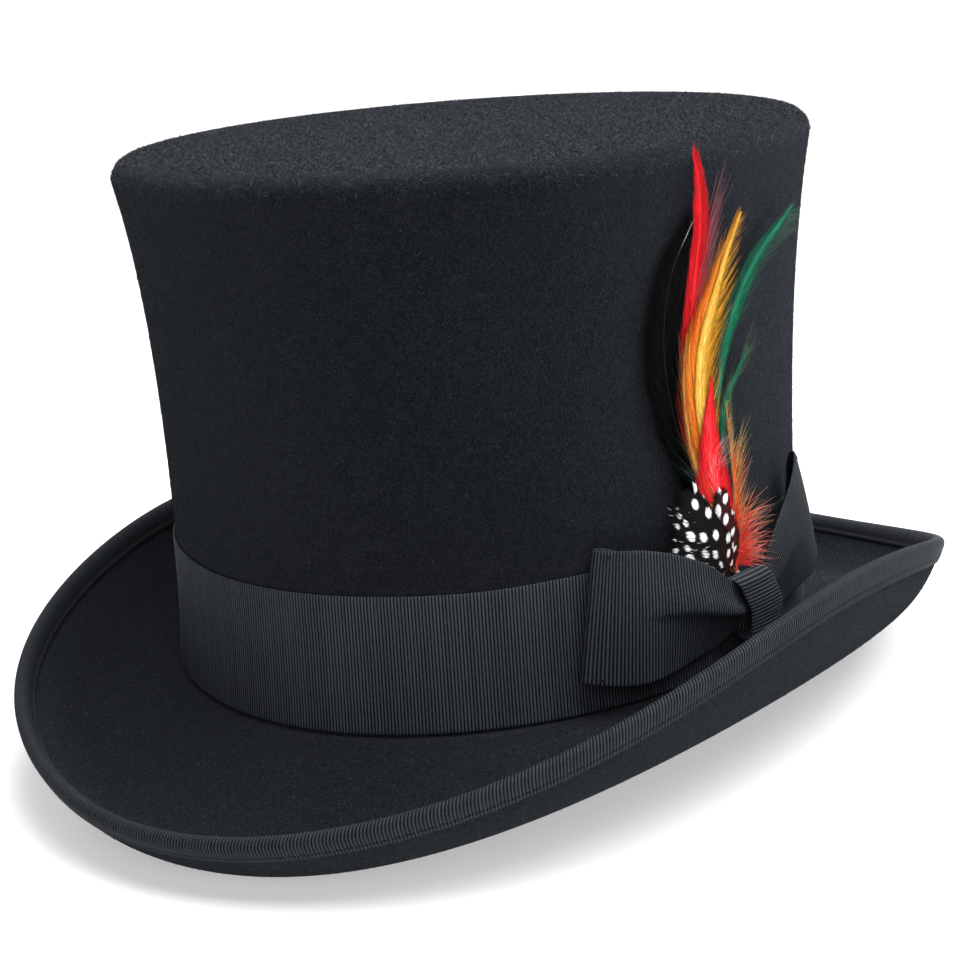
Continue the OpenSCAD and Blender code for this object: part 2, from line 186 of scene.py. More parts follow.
def strip(mid, thick, rib, pitch, along, across, wrap=False):
    """A ribbon from its middle surface (nu, nc, 3): points, faces, and the ribbon's own coordinates.
    along: (nu,) length along the ribbon in mm, across: (nc,) in mm. Ribs lie across the ribbon."""
    nu, nc, _ = mid.shape
    if wrap:
        du = np.roll(mid, -1, 0) - np.roll(mid, 1, 0)
    else:
        du = np.gradient(mid, axis=0)
    dc = np.gradient(mid, across, axis=1)
    nn = np.cross(du, dc)
    nn /= np.maximum(np.linalg.norm(nn, axis=-1, keepdims=True), 1e-12)
    wave = np.abs(np.sin(np.pi * along / pitch)) ** 0.7
    edge = np.minimum(across - across[0], across[-1] - across)
    half = thick / 2 * np.sqrt(cl(0.12 + edge / 0.45))[None, :]
    lift = half - rib * (1 - wave)[:, None]
    top, bottom = mid + nn * lift[..., None], mid - nn * lift[..., None]
    ring = np.concatenate([top, bottom[:, ::-1]], 1)
    faces = [quads(nu, 2 * nc, wrap, True)]
    if not wrap:
        j = np.arange(nc - 1)
        first = np.stack([j, j + 1, 2 * nc - 2 - j, 2 * nc - 1 - j], -1)
        faces += [first[:, ::-1], first + (nu - 1) * 2 * nc]
    uv = np.zeros((nu, 2 * nc, 3))
    uv[..., 0] = along[:, None] / pitch
    uv[:, :nc, 1] = across
    uv[:, nc:, 1] = across[::-1]
    uv[..., 2] = wave[:, None]
    return ring.reshape(-1, 3), faces, uv.reshape(-1, 3)


def curve(ctrl, count, place=None):
    """A smooth line through control rows, with count rows evenly spaced along it; place turns rows into points for measuring."""
    ctrl = np.asarray(ctrl, float)
    pts = ctrl if place is None else place(ctrl)
    t = np.concatenate([[0], np.cumsum(np.linalg.norm(np.diff(pts, axis=0), axis=1) ** 0.5)])
    d = np.gradient(ctrl, t, axis=0)

    def at(x):
        k = np.clip(np.searchsorted(t, x, side="right") - 1, 0, len(t) - 2)
        h = t[k + 1] - t[k]
        u = ((x - t[k]) / h)[:, None]
        h = h[:, None]
        return (
            ctrl[k] * (1 + 2 * u) * (1 - u) ** 2
            + d[k] * h * u * (1 - u) ** 2
            + ctrl[k + 1] * u * u * (3 - 2 * u)
            + d[k + 1] * h * u * u * (u - 1)
        )

    fine = at(np.linspace(0, t[-1], 1200))
    pts = fine if place is None else place(fine)
    s = np.concatenate([[0], np.cumsum(np.linalg.norm(np.diff(pts, axis=0), axis=1))])
    x = np.linspace(0, s[-1], count)
    return np.stack([np.interp(x, s, fine[:, k]) for k in range(fine.shape[1])], 1), s[-1]


def tubes(lines, radii, sides=6):
    """Closed tubes along lines (m, k, 3) with radii (m, k)."""
    lines, radii = np.asarray(lines, float), np.asarray(radii, float)
    m, k, _ = lines.shape
    t = np.gradient(lines, axis=1)
    t /= np.maximum(np.linalg.norm(t, axis=-1, keepdims=True), 1e-12)
    ref = np.where(np.abs(t[..., 2:3]) < 0.8, np.array([0, 0, 1.0]), np.array([1.0, 0, 0]))
    a = np.cross(t, ref)
    a /= np.maximum(np.linalg.norm(a, axis=-1, keepdims=True), 1e-12)
    b = np.cross(t, a)
    th = np.arange(sides) * 2 * np.pi / sides
    ring = lines[:, :, None] + radii[:, :, None, None] * (
        a[:, :, None] * np.cos(th)[:, None] + b[:, :, None] * np.sin(th)[:, None]
    )
    one = quads(k, sides, False, True)
    start = (np.arange(m) * k * sides)[:, None, None]
    body = (one[None] + start).reshape(-1, 4)
    cap = np.arange(sides)[None, :] + start[:, :, 0]
    return ring.reshape(-1, 3), [body, cap, (cap + (k - 1) * sides)[:, ::-1]]


# ---------------------------------------------------------------------------
# Materials
# ---------------------------------------------------------------------------
class Nodes:
    def __init__(self, name):
        self.mat = bpy.data.materials.new(name)
        self.mat.use_nodes = True
        self.tree = self.mat.node_tree
        self.tree.nodes.clear()
        self.out = self.add("ShaderNodeOutputMaterial")
        self.bsdf = self.add("ShaderNodeBsdfPrincipled")
        self.link(self.bsdf.outputs[0], self.out.inputs[0])

    def add(self, kind, **inputs):
        n = self.tree.nodes.new(kind)
        for k, v in inputs.items():
            n.inputs[k.replace("_", " ")].default_value = v
        return n

    def link(self, a, b):
        self.tree.links.new(a, b)

    def noise(self, where, scale, detail=3.0, rough=0.6, distort=0.0):
        n = self.add("ShaderNodeTexNoise", Scale=scale, Detail=detail, Roughness=rough, Distortion=distort)
        self.link(where, n.inputs["Vector"])
        return n.outputs[0]

    def maths(self, kind, a, b=None, c=None, clamp=False):
        n = self.add("ShaderNodeMath")
        n.operation = kind
        n.use_clamp = clamp
        for k, x in enumerate((a, b, c)):
            if x is None:
                continue
            if isinstance(x, (int, float)):
                n.inputs[k].default_value = x
            else:
                self.link(x, n.inputs[k])
        return n.outputs[0]

    def ramp(self, fac, stops):
        n = self.add("ShaderNodeValToRGB")
        e = n.color_ramp.elements
        while len(e) < len(stops):
            e.new(0.5)
        for k, (at, col) in enumerate(stops):
            e[k].position = at
            e[k].color = (*col, 1.0)
        self.link(fac, n.inputs[0])
        return n.outputs[0]

    def mix(self, fac, a, b, kind="MIX"):
        n = self.add("ShaderNodeMix")
        n.data_type = "RGBA"
        n.blend_type = kind
        for k, x in ((0, fac), (6, a), (7, b)):
            if isinstance(x, (int, float)):
                n.inputs[k].default_value = x
            elif isinstance(x, tuple):
                n.inputs[k].default_value = (*x, 1.0)
            else:
                self.link(x, n.inputs[k])
        return n.outputs[2]

    def attribute(self, name):
        n = self.add("ShaderNodeAttribute")
        n.attribute_name = name
        return n

    def bump(self, height, strength, distance, under=None):
        n = self.add("ShaderNodeBump", Strength=strength, Distance=distance)
        self.link(height, n.inputs["Height"])
        if under is not None:
            self.link(under, n.inputs["Normal"])
        return n.outputs[0]

    def place(self):
        return self.add("ShaderNodeTexCoord").outputs["Object"]

    def set(self, **values):
        for k, v in values.items():
            self.bsdf.inputs[k.replace("_", " ")].default_value = v


def felt_material():
    m = Nodes("wool_felt")
    at = m.place()
    grain = m.noise(at, 1900.0, 2.0, 0.7)
    fibre = m.noise(at, 1050.0, 3.0, 0.72, 2.6)
    matted = m.noise(at, 520.0, 5.0, 0.68, 1.4)
    cloud = m.noise(at, 85.0, 4.0, 0.6)
    patch = m.noise(at, 17.0, 2.0, 0.5)
    tone = m.maths("ADD", m.maths("MULTIPLY", matted, 0.18), m.maths("MULTIPLY", grain, 0.36))
    tone = m.maths("ADD", tone, m.maths("MULTIPLY", fibre, 0.42))
    tone = m.maths("ADD", tone, m.maths("MULTIPLY", cloud, 0.05))
    tone = m.maths("ADD", tone, m.maths("MULTIPLY", patch, 0.04))
    col = m.ramp(
        tone,
        [(0.38, (0.0014, 0.0017, 0.0021)), (0.53, (0.0082, 0.0092, 0.0107)), (0.63, (0.0185, 0.0203, 0.0232)), (0.76, (0.055, 0.059, 0.065))],
    )
    wear = m.attribute("wear").outputs["Fac"]
    rubbed = m.maths("MULTIPLY", wear, m.ramp_value(m.noise(at, 260.0, 4.0, 0.7), 0.56, 0.70))
    col = m.mix(m.maths("MULTIPLY", rubbed, 0.3), col, (0.060, 0.053, 0.048))
    # a few specks of pale lint
    specks = m.add("ShaderNodeTexVoronoi", Scale=95.0)
    m.link(at, specks.inputs["Vector"])
    pick = m.add("ShaderNodeSeparateColor")
    m.link(specks.outputs["Color"], pick.inputs[0])
    few = m.maths("GREATER_THAN", pick.outputs[0], 0.86)
    near = m.maths("LESS_THAN", m.maths("ADD", specks.outputs["Distance"], m.maths("MULTIPLY", matted, 0.03)), 0.034)
    col = m.mix(m.maths("MULTIPLY", m.maths("MULTIPLY", few, near), 0.7), col, (0.30, 0.30, 0.31))
    m.link(col, m.bsdf.inputs["Base Color"])
    height = m.maths("ADD", m.maths("MULTIPLY", fibre, 0.7), m.maths("MULTIPLY", grain, 0.4))
    height = m.maths("ADD", height, m.maths("MULTIPLY", matted, 0.8))
    soft = m.bump(cloud, 0.18, 0.0012)
    m.link(m.bump(height, 0.9, 0.0007, soft), m.bsdf.inputs["Normal"])
    m.link(m.maths("ADD", m.maths("MULTIPLY", matted, 0.16), 0.82), m.bsdf.inputs["Roughness"])
    m.set(Sheen_Weight=0.066, Sheen_Roughness=0.5, Sheen_Tint=(0.72, 0.82, 0.96, 1.0), Specular_IOR_Level=0.0)
    return m.mat


def ramp_value(self, fac, low, high):
    n = self.add("ShaderNodeMapRange")
    n.interpolation_type = "SMOOTHSTEP"
    n.inputs["From Min"].default_value = low
    n.inputs["From Max"].default_value = high
    self.link(fac, n.inputs["Value"])
    return n.outputs["Result"]


Nodes.ramp_value = ramp_value


def ribbon_material(name, painted_shade=1.0):
    """painted_shade: a painted shade, the factor that darkens this copy of the same grosgrain where the lamps light it
    more strongly.
    """
    m = Nodes(name)
    at = m.place()
    own = m.attribute("rib").outputs["Vector"]
    split = m.add("ShaderNodeSeparateXYZ")
    m.link(own, split.inputs[0])
    u, v, crest_painted_light = split.outputs
    # fine warp threads cross the ribs
    warp = m.maths("SINE", m.maths("MULTIPLY", v, 2 * math.pi / 0.36))
    warp = m.maths("MULTIPLY_ADD", warp, 0.5, 0.5)
    each = m.add("ShaderNodeTexWhiteNoise")
    each.noise_dimensions = "1D"
    m.link(m.maths("FLOOR", u), each.inputs["W"])
    fluff = m.noise(at, 1250.0, 3.0, 0.7)
    cloud = m.noise(at, 55.0, 3.0, 0.6)
    # painted shade in the rib grooves and painted highlight on the rib crests: the colour follows each rib's height
    tone = m.maths("MULTIPLY", m.maths("POWER", crest_painted_light, 1.7), 0.62)
    tone = m.maths("ADD", tone, m.maths("MULTIPLY", warp, 0.14))
    tone = m.maths("ADD", tone, m.maths("MULTIPLY", fluff, 0.36))
    tone = m.maths("ADD", tone, m.maths("MULTIPLY", each.outputs[0], 0.07))
    tone = m.maths("ADD", tone, m.maths("MULTIPLY", cloud, 0.08))
    col = m.ramp(tone, [(at_, tuple(painted_shade * c for c in colour)) for at_, colour in [(0.22, (0.0008, 0.0010, 0.0014)), (0.58, (0.0100, 0.0118, 0.0142)), (0.98, (0.058, 0.066, 0.078))]])
    m.link(col, m.bsdf.inputs["Base Color"])
    height = m.maths("ADD", m.maths("MULTIPLY", warp, 0.5), m.maths("MULTIPLY", fluff, 0.6))
    m.link(m.bump(height, 0.5, 0.00012), m.bsdf.inputs["Normal"])
    m.link(m.maths("ADD", m.maths("MULTIPLY", fluff, 0.2), 0.5), m.bsdf.inputs["Roughness"])
    m.set(Sheen_Weight=0.02, Sheen_Roughness=0.4, Sheen_Tint=(0.75, 0.82, 0.95, 1.0), Specular_IOR_Level=0.06)
    return m.mat


def thread_material(name, base, light):
    m = Nodes(name)
    at = m.place()
    twist = m.noise(at, 2600.0, 2.0, 0.6, 0.8)
    m.link(m.ramp(twist, [(0.35, base), (0.7, light)]), m.bsdf.inputs["Base Color"])
    m.link(m.bump(twist, 0.6, 0.0001), m.bsdf.inputs["Normal"])
    m.set(Roughness=0.6, Sheen_Weight=0.02, Specular_IOR_Level=0.08)
    return m.mat


def lining_material():
    m = Nodes("satin_lining")
    at = m.place()
    weave = m.noise(at, 2400.0, 2.0, 0.5)
    cloud = m.noise(at, 40.0, 3.0, 0.5)
    tone = m.maths("ADD", m.maths("MULTIPLY", weave, 0.5), m.maths("MULTIPLY", cloud, 0.5))
    m.link(m.ramp(tone, [(0.35, (0.022, 0.022, 0.026)), (0.65, (0.05, 0.05, 0.057))]), m.bsdf.inputs["Base Color"])
    m.link(m.bump(weave, 0.3, 0.0001), m.bsdf.inputs["Normal"])
    m.link(m.maths("ADD", m.maths("MULTIPLY", cloud, 0.2), 0.26), m.bsdf.inputs["Roughness"])
    m.set(Sheen_Weight=0.15)
    return m.mat


def leather_material():
    m = Nodes("sweatband_leather")
    at = m.place()
    cells = m.add("ShaderNodeTexVoronoi", Scale=900.0)
    m.link(at, cells.inputs["Vector"])
    cloud = m.noise(at, 60.0, 4.0, 0.6)
    tone = m.maths("ADD", m.maths("MULTIPLY", cells.outputs["Distance"], 0.5), m.maths("MULTIPLY", cloud, 0.6))
    m.link(m.ramp(tone, [(0.3, (0.026, 0.022, 0.019)), (0.75, (0.07, 0.058, 0.05))]), m.bsdf.inputs["Base Color"])
    m.link(m.bump(cells.outputs["Distance"], 0.35, 0.0002), m.bsdf.inputs["Normal"])
    m.link(m.maths("ADD", m.maths("MULTIPLY", cloud, 0.25), 0.36), m.bsdf.inputs["Roughness"])
    return m.mat


def feather_material(name, sheen=0.12, rough=0.42, gloss=0.35):
    m = Nodes(name)
    at = m.place()
    tint = m.attribute("tint").outputs["Color"]
    fleck = m.noise(at, 1800.0, 3.0, 0.6)
    shade = m.ramp(fleck, [(0.3, (0.72, 0.72, 0.72)), (0.72, (1.0, 1.0, 1.0))])
    m.link(m.mix(1.0, tint, shade, "MULTIPLY"), m.bsdf.inputs["Base Color"])
    m.link(m.bump(fleck, 0.25, 0.00008), m.bsdf.inputs["Normal"])
    m.link(m.maths("ADD", m.maths("MULTIPLY", fleck, 0.2), rough - 0.1), m.bsdf.inputs["Roughness"])
    m.set(Sheen_Weight=sheen, Sheen_Roughness=0.35, Specular_IOR_Level=gloss)
    return m.mat


FELT_MAT = felt_material()
NAP_MAT = feather_material("wool_nap", 0.0, 0.8, 0.0)
RIBBON_MAT = ribbon_material("grosgrain")
# the bow and the binding are the band's grosgrain darkened by a painted shade, to offset the stronger light falling on
# them
BOW_MAT = ribbon_material("grosgrain_bow", 0.84)
BINDING_MAT = ribbon_material("grosgrain_binding", 0.66)
THREAD_MAT = thread_material("black_thread", (0.004, 0.0045, 0.0055), (0.018, 0.020, 0.024))
LINING_MAT = lining_material()
LEATHER_MAT = leather_material()

# ---------------------------------------------------------------------------
# Felt crown and brim
# ---------------------------------------------------------------------------
NF = 320
F = np.arange(NF) * 360.0 / NF


def crown_profile():
    """Rows (bearing, row, xyz) from the middle of the tip over the edge, down the side, and back up inside."""
    f = F[:, None]
    rows, wear = [], []
    edge_v = H - TIP_R
    ea, eb = semi_a(edge_v) - TIP_R, semi_b(edge_v) - TIP_R
    r = np.radians(F)
    for k in np.linspace(0.03, 1.0, 22):  # the tip, with a shallow dish inside its edge
        z = Z0 + H - 1.7 * (1 - step(0.66, 1.0, k)) + 0.25 * waves(3, F, np.full(NF, 60 * k), 6, 1, 4)* k
        rows.append(np.stack([eb * k * np.sin(r), -ea * k * np.cos(r), z], -1))
        wear.append(np.full(NF, 0.15 * step(0.9, 1.0, k)))
    for th in np.linspace(81, 9, 9):  # the soft edge
        c, s_ = math.cos(math.radians(th)), math.sin(math.radians(th))
        z = np.full(NF, Z0 + edge_v + TIP_R * s_) + 0.25 * waves(3, F, np.full(NF, 60.0), 6, 1, 4) * s_
        rows.append(np.stack([(eb + TIP_R * c) * np.sin(r), -(ea + TIP_R * c) * np.cos(r), z], -1))
        wear.append(np.full(NF, math.exp(-(((th - 42) / 26) ** 2))))
    for v in np.concatenate([[edge_v], np.linspace(edge_v - 3, 6, 48), [4, 2, 0.8, 0]]):  # the side
        soft = 0.45 * waves(7, F, np.full(NF, v), 9, 1, 7, 45.0) * float(step(0, 30, v) * step(H, H - 25, v))
        rows.append(on_crown(F, v, soft))
        wear.append(np.full(NF, 0.35 * float(step(H - 22, H - 5, v))))
    for v in np.concatenate([[0, 1, 4], np.linspace(10, edge_v, 14)]):
        rows.append(on_crown(F, v, -FELT))
        wear.append(np.zeros(NF))
    for th in (25, 50, 75):
        c, s_ = math.cos(math.radians(th)), math.sin(math.radians(th))
        q = TIP_R - FELT
        rows.append(np.stack([(eb + q * c) * np.sin(r), -(ea + q * c) * np.cos(r), np.full(NF, Z0 + edge_v + q * s_)], -1))
        wear.append(np.zeros(NF))
    for k in (0.98, 0.5, 0.03):
        rows.append(np.stack([eb * k * np.sin(r), -ea * k * np.cos(r), np.full(NF, Z0 + H - FELT - 1.15 * (1 - k) ** 0.2)], -1))
        wear.append(np.zeros(NF))
    return np.stack(rows, 1), np.stack(wear, 1)


rows, wear = crown_profile()
nr = rows.shape[1]
co = np.concatenate([rows.reshape(-1, 3), rows[:, 0].mean(0)[None], rows[:, -1].mean(0)[None]])
i = np.arange(NF)
faces = [
    quads(NF, nr, True, False),
    np.stack([np.full(NF, NF * nr), i * nr, ((i + 1) % NF) * nr], -1),
    np.stack([np.full(NF, NF * nr + 1), ((i + 1) % NF) * nr + nr - 1, i * nr + nr - 1], -1),
]
crown = piece("crown_felt", co, faces, "hat", FELT_MAT, ["felt_crown"], floats={"wear": np.concatenate([wear.ravel(), [0, 0]])})


def nap(name, grid, keep, count, seed, long, out_of, light=1.0):
    """Short wool fibres that stand out of a felt surface: grid (bearing, row, xyz), the quads to use, and a point the surface faces away from."""
    g = np.random.default_rng(seed)
    a, b_, c_, d_ = grid[:, :-1], np.roll(grid, -1, 0)[:, :-1], np.roll(grid, -1, 0)[:, 1:], grid[:, 1:]
    across = np.cross(c_ - a, d_ - b_)
    size = np.linalg.norm(across, axis=-1) * keep[None] * (a[..., 2] > 1.5)
    pick = g.choice(size.size, count, p=(size / size.sum()).ravel())
    x, y = g.uniform(0, 1, (2, count, 1))
    flat = [q.reshape(-1, 3)[pick] for q in (a, b_, c_, d_)]
    at = (flat[0] * (1 - x) + flat[1] * x) * (1 - y) + (flat[3] * (1 - x) + flat[2] * x) * y
    n = across.reshape(-1, 3)[pick]
    n /= np.linalg.norm(n, axis=1, keepdims=True)
    n *= np.sign(np.sum(n * (at - out_of), 1, keepdims=True))
    way = g.normal(size=(count, 3))
    way -= n * np.sum(way * n, 1, keepdims=True)
    way /= np.linalg.norm(way, axis=1, keepdims=True)
    way = way + n * g.uniform(0.2, 0.9, (count, 1))
    way /= np.linalg.norm(way, axis=1, keepdims=True)
    e1 = np.cross(way, n)
    e1 /= np.maximum(np.linalg.norm(e1, axis=1, keepdims=True), 1e-9)
    e2 = np.cross(way, e1)
    wide = g.uniform(0.045, 0.085, (count, 1))
    base = at - n * 0.08
    v = np.stack([base + e1 * wide, base - e1 * wide * 0.5 + e2 * wide * 0.87, base - e1 * wide * 0.5 - e2 * wide * 0.87, at + way * g.uniform(*long, (count, 1))], 1)
    v[..., 2] = np.maximum(v[..., 2], 0.05)
    k = np.arange(count)[:, None] * 4
    faces = np.concatenate([k + np.array([f]) for f in ([0, 1, 3], [1, 2, 3], [2, 0, 3], [0, 2, 1])])
    pale = np.where(g.uniform(size=count) < 0.45, g.uniform(0.002, 0.010, count), np.where(g.uniform(size=count) < 0.66, g.uniform(0.03, 0.07, count), g.uniform(0.09, 0.18, count)))
    pale = pale * light
    tint = np.repeat(np.stack([pale * 0.93, pale, pale * 1.12, np.ones(count)], -1), 4, 0)
    return piece(name, v, [faces], "hat", NAP_MAT, colours={"tint": tint}, smooth=False)


mid_z = rows[:, 21, 2].mean() - 60.0
row_i = np.arange(nr - 1)
side_first = 22 + 9
at_v = rows[:, :, 2].mean(0) - Z0
nap("crown_tip_nap", rows, (row_i < side_first).astype(float), 36000, 401, (0.7, 1.7), np.array([0, 0, mid_z]))
nap("crown_side_nap", rows, ((row_i >= side_first) & (row_i < side_first + 50) & (at_v[1:] > 41.0)).astype(float), 34000, 403, (0.5, 1.3), np.array([0, 0, mid_z]), 0.6)

s_rows = np.concatenate([np.linspace(0, 0.6, 16), np.linspace(0.63, 0.965, 22), [FELT_END]])
f2, s2 = np.meshgrid(F, s_rows, indexing="ij")
soft = 0.4 * waves(21, f2, 60 * s2, 8, 1, 6, 30.0) * step(0.02, 0.25, s2) * step(0.93, 0.8, s2)
top = brim(f2, s2, soft)
under = brim(f2, s2, -FELT + 0.6 * soft)
under[..., 2] = np.maximum(under[..., 2], 0.0)
inner = on_crown(F, 0.0, -FELT)
top[:, 0, 2] -= GAP
inner_top, inner_low = inner.copy(), inner.copy()
inner_top[:, 2] -= GAP
inner_low[:, 2] -= GAP + FELT
end = brim(F, FELT_END, -FELT / 2, 1.1)
ring = np.concatenate([inner_top[:, None], top, end[:, None], under[:, :0:-1], inner_low[:, None]], 1)
wear = np.zeros(ring.shape[:2])
brim_ob = piece("brim_felt", ring, [quads(NF, ring.shape[1], True, True)], "hat", FELT_MAT, ["felt_brim"], floats={"wear": wear})
free = ((s_rows[:-1] > 0.08) & (s_rows[1:] < BIND_FROM)).astype(float)
nap("brim_top_nap", top, free, 26000, 405, (0.4, 1.1), np.array([0, 0, -4000.0]))
nap("brim_under_nap", under, free, 14000, 407, (0.3, 0.7), np.array([0, 0, 4000.0]))

# ---------------------------------------------------------------------------
# Ribbon: brim binding, hat band
# ---------------------------------------------------------------------------
PITCH = 0.95


def around(place, pitch, per_rib=6):
    """Bearings spaced for the ribs along a closed line, its length, and the rib pitch that closes on itself."""
    f = np.linspace(0, 360, 3601)
    s = np.concatenate([[0], np.cumsum(np.linalg.norm(np.diff(place(f), axis=0), axis=1))])
    n = int(round(s[-1] / pitch))
    x = np.arange(n * per_rib) * s[-1] / (n * per_rib)
    return np.interp(x, s, f), x, s[-1], s[-1] / n


start_f = 87.0
fb, ub, len_b, pitch_b = around(lambda f: brim(f + start_f, 0.99), 0.94, 4)
fb = fb + start_f
wave = np.abs(np.sin(np.pi * ub / pitch_b)) ** 0.7
h, o = FELT / 2, GAP + RIBBON
outer, uv = [], []
LEG = FELT_END - BIND_FROM
legs = [BIND_FROM + LEG * t for t in (0, 0.05, 0.32, 0.4, 0.48)] + [FELT_END]
wob = 0.04 * LEG * waves(31, fb, 0 * fb, 9, 2, 15)
stitch_at = BIND_FROM + 0.4 * LEG


def leg_groove(s):
    return 0.34 * math.exp(-(((s - stitch_at) / (0.045 * LEG)) ** 2))


def edge_round(s):
    return {legs[0]: 0.55, legs[1]: 0.2}.get(s, 0.0)


row_len = 0.0
for s in legs:
    teeth = 0.055 * LEG * (1 - wave) * max(0.0, 1 - (s - BIND_FROM) / (0.075 * LEG))
    d = o - edge_round(s) - leg_groove(s) - (0.34 if s < stitch_at else 0.24) * (1 - wave)
    outer.append(brim(fb, s + teeth + wob * (1 - (s - BIND_FROM) / LEG), d))
    uv.append((s - BIND_FROM) / LEG * 6.3)
for k, a in enumerate((30, 60, 90, 120, 150)):
    c, sn = math.cos(math.radians(a)), math.sin(math.radians(a))
    rad = h + o - 0.24 * (1 - wave)
    outer.append(brim(fb, FELT_END, -h + rad * c, rad * sn))
    uv.append(6.3 + 0.9 * k)
for s in legs[::-1]:
    teeth = 0.055 * LEG * (1 - wave) * max(0.0, 1 - (s - BIND_FROM) / (0.075 * LEG))
    d = -FELT - (o - edge_round(s) - leg_groove(s) - (0.34 if s < stitch_at else 0.24) * (1 - wave))
    outer.append(brim(fb, s + teeth + wob * (1 - (s - BIND_FROM) / LEG), d))
    uv.append(11 + (FELT_END - s) / LEG * 6.3)
n_out = len(outer)
for s in (BIND_FROM, FELT_END):
    outer.append(brim(fb, s + wob * (1 - (s - BIND_FROM) / LEG), -FELT - GAP))
    uv.append(11 + (FELT_END - s) / LEG * 6.3)
for a in (120, 60):
    c, sn = math.cos(math.radians(a)), math.sin(math.radians(a))
    outer.append(brim(fb, FELT_END, -h + (h + GAP) * c, (h + GAP) * sn))
    uv.append(9.0)
for s in (FELT_END, BIND_FROM):
    outer.append(brim(fb, s + wob * (1 - (s - BIND_FROM) / LEG), GAP))
    uv.append((s - BIND_FROM) / LEG * 6.3)
ring = np.stack(outer, 1)
own = np.zeros(ring.shape)
own[..., 0] = (ub / pitch_b)[:, None]
own[..., 1] = np.array(uv)[None]
own[..., 2] = wave[:, None]
binding = piece("binding_ribbon", ring, [quads(len(fb), ring.shape[1], True, True)], "hat", BINDING_MAT, ["brim_binding"], vectors={"rib": own})

# stitches through both legs of the binding
n_st = 300
lines, radii = [], []
for side in (1, -1):
    at = np.interp((np.arange(n_st) + (0.5 if side < 0 else 0.0)) / n_st * len_b, np.append(ub, len_b), np.append(fb, fb[0] + 360))
    reach = np.interp(((np.arange(n_st) + (0.5 if side < 0 else 0.0)) / n_st * len_b + 1.1) % len_b, np.append(ub, len_b), np.append(fb, fb[0] + 360))
    half = np.abs((reach - at + 180) % 360 - 180)
    k = np.linspace(-1, 1, 7)
    ff = at[:, None] + half[:, None] * k
    bow_ = 0.12 * (1 - k**4) - 0.24
    d = (o + bow_) if side > 0 else -(FELT + o + bow_)
    jig = LEG * (0.010 * np.sin(ff * 3.1) + 0.008 * np.sin(ff * 7.7 + 1))
    lines.append(brim(ff, stitch_at + jig, d))
    radii.append(np.broadcast_to(0.14 * np.sqrt(np.maximum(1 - np.abs(k) ** 5, 0.08)), ff.shape))
co, faces = tubes(np.concatenate(lines), np.concatenate(radii), 6)
piece("binding_stitches", co, faces, "hat", THREAD_MAT, ["binding_thread"])

# the band
fs, us, len_s, pitch_s = around(lambda f: on_crown(f + start_f, 20.0, 0.8), 0.94)
fs = fs + start_f
wave = np.abs(np.sin(np.pi * us / pitch_s)) ** 0.7
vs = np.concatenate([[0.6, 0.68, 0.95, 1.6], np.linspace(4, 36, 12), [37.5, 38.35, 38.62, 38.7]])
lift = np.concatenate([[0.45, 0.2, 0.06, 0], np.zeros(12), [0, 0.06, 0.2, 0.45]])
ff, vv = np.meshgrid(fs, vs, indexing="ij")
lean = 0.35 * waves(41, ff, vv, 7, 1, 6, 28.0)
rise = (0.25 * waves(43, ff, 0 * vv, 6, 1, 5) + 0.7 * step(38, 58, ff % 360) * step(140, 110, ff % 360)) * step(10, 38, vv) + 0.14 * wave[:, None] * step(38.2, 38.6, vv)
n_out = GAP + RIBBON + 0.12 + np.maximum(lean, -0.1) * step(0, 14, vv) - lift[None] - 0.24 * (1 - wave)[:, None]
outer = on_crown(ff, vv + rise, n_out)
vi = np.array([38.6, 30.0, 20.0, 10.0, 0.7])
fi, vi2 = np.meshgrid(fs, vi, indexing="ij")
inner = on_crown(fi, vi2 + (0.25 * waves(43, fi, 0 * vi2, 6, 1, 5) + 0.7 * step(38, 58, fi % 360) * step(140, 110, fi % 360)) * step(10, 38, vi2), 0.12)
ring = np.concatenate([outer, inner], 1)
own = np.zeros(ring.shape)
own[..., 0] = (us / pitch_s)[:, None]
own[..., 1] = np.concatenate([vs, vi])[None]
own[..., 2] = wave[:, None]
band = piece("band_ribbon", ring, [quads(len(fs), ring.shape[1], True, True)], "hat", RIBBON_MAT, ["hat_band"], vectors={"rib": own})


# ---------------------------------------------------------------------------
# Bow
# ---------------------------------------------------------------------------
def place5(c, q):
    """Points of a bow row [low f, low v, high f, high v, n] at shares q across it."""
    q = np.asarray(q, float)
    return on_crown(
        c[:, None, 0] + (c[:, None, 2] - c[:, None, 0]) * q,
        c[:, None, 1] + (c[:, None, 3] - c[:, None, 1]) * q,
        c[:, None, 4] + 0 * q,
    )


def loop_mid(ctrl, q, relief):
    line, length = curve(ctrl, 60, lambda c: place5(c, [0.5])[:, 0])
    count = int(round(length / PITCH)) * 6 + 1
    line, length = curve(ctrl, count, lambda c: place5(c, [0.5])[:, 0])
    f = line[:, None, 0] + (line[:, None, 2] - line[:, None, 0]) * q
    v = line[:, None, 1] + (line[:, None, 3] - line[:, None, 1]) * q
    x = np.linspace(0, 1, count)[:, None]
    n = line[:, None, 4] + relief(x, q[None, :])
    return on_crown(f, v, n), np.linspace(0, length, count), length


Q = np.concatenate([[0, 0.008, 0.022, 0.045], np.linspace(0.08, 0.92, 30), [0.955, 0.978, 0.992, 1.0]])


def back_relief(x, q):
    """The layer next to the band leans in below, near the knot."""
    return -3.0 * step(0.36, 0.12, x) * (1 - 0.65 * step(0.05, 0.01, x)) * cl((0.5 - q) / 0.5)


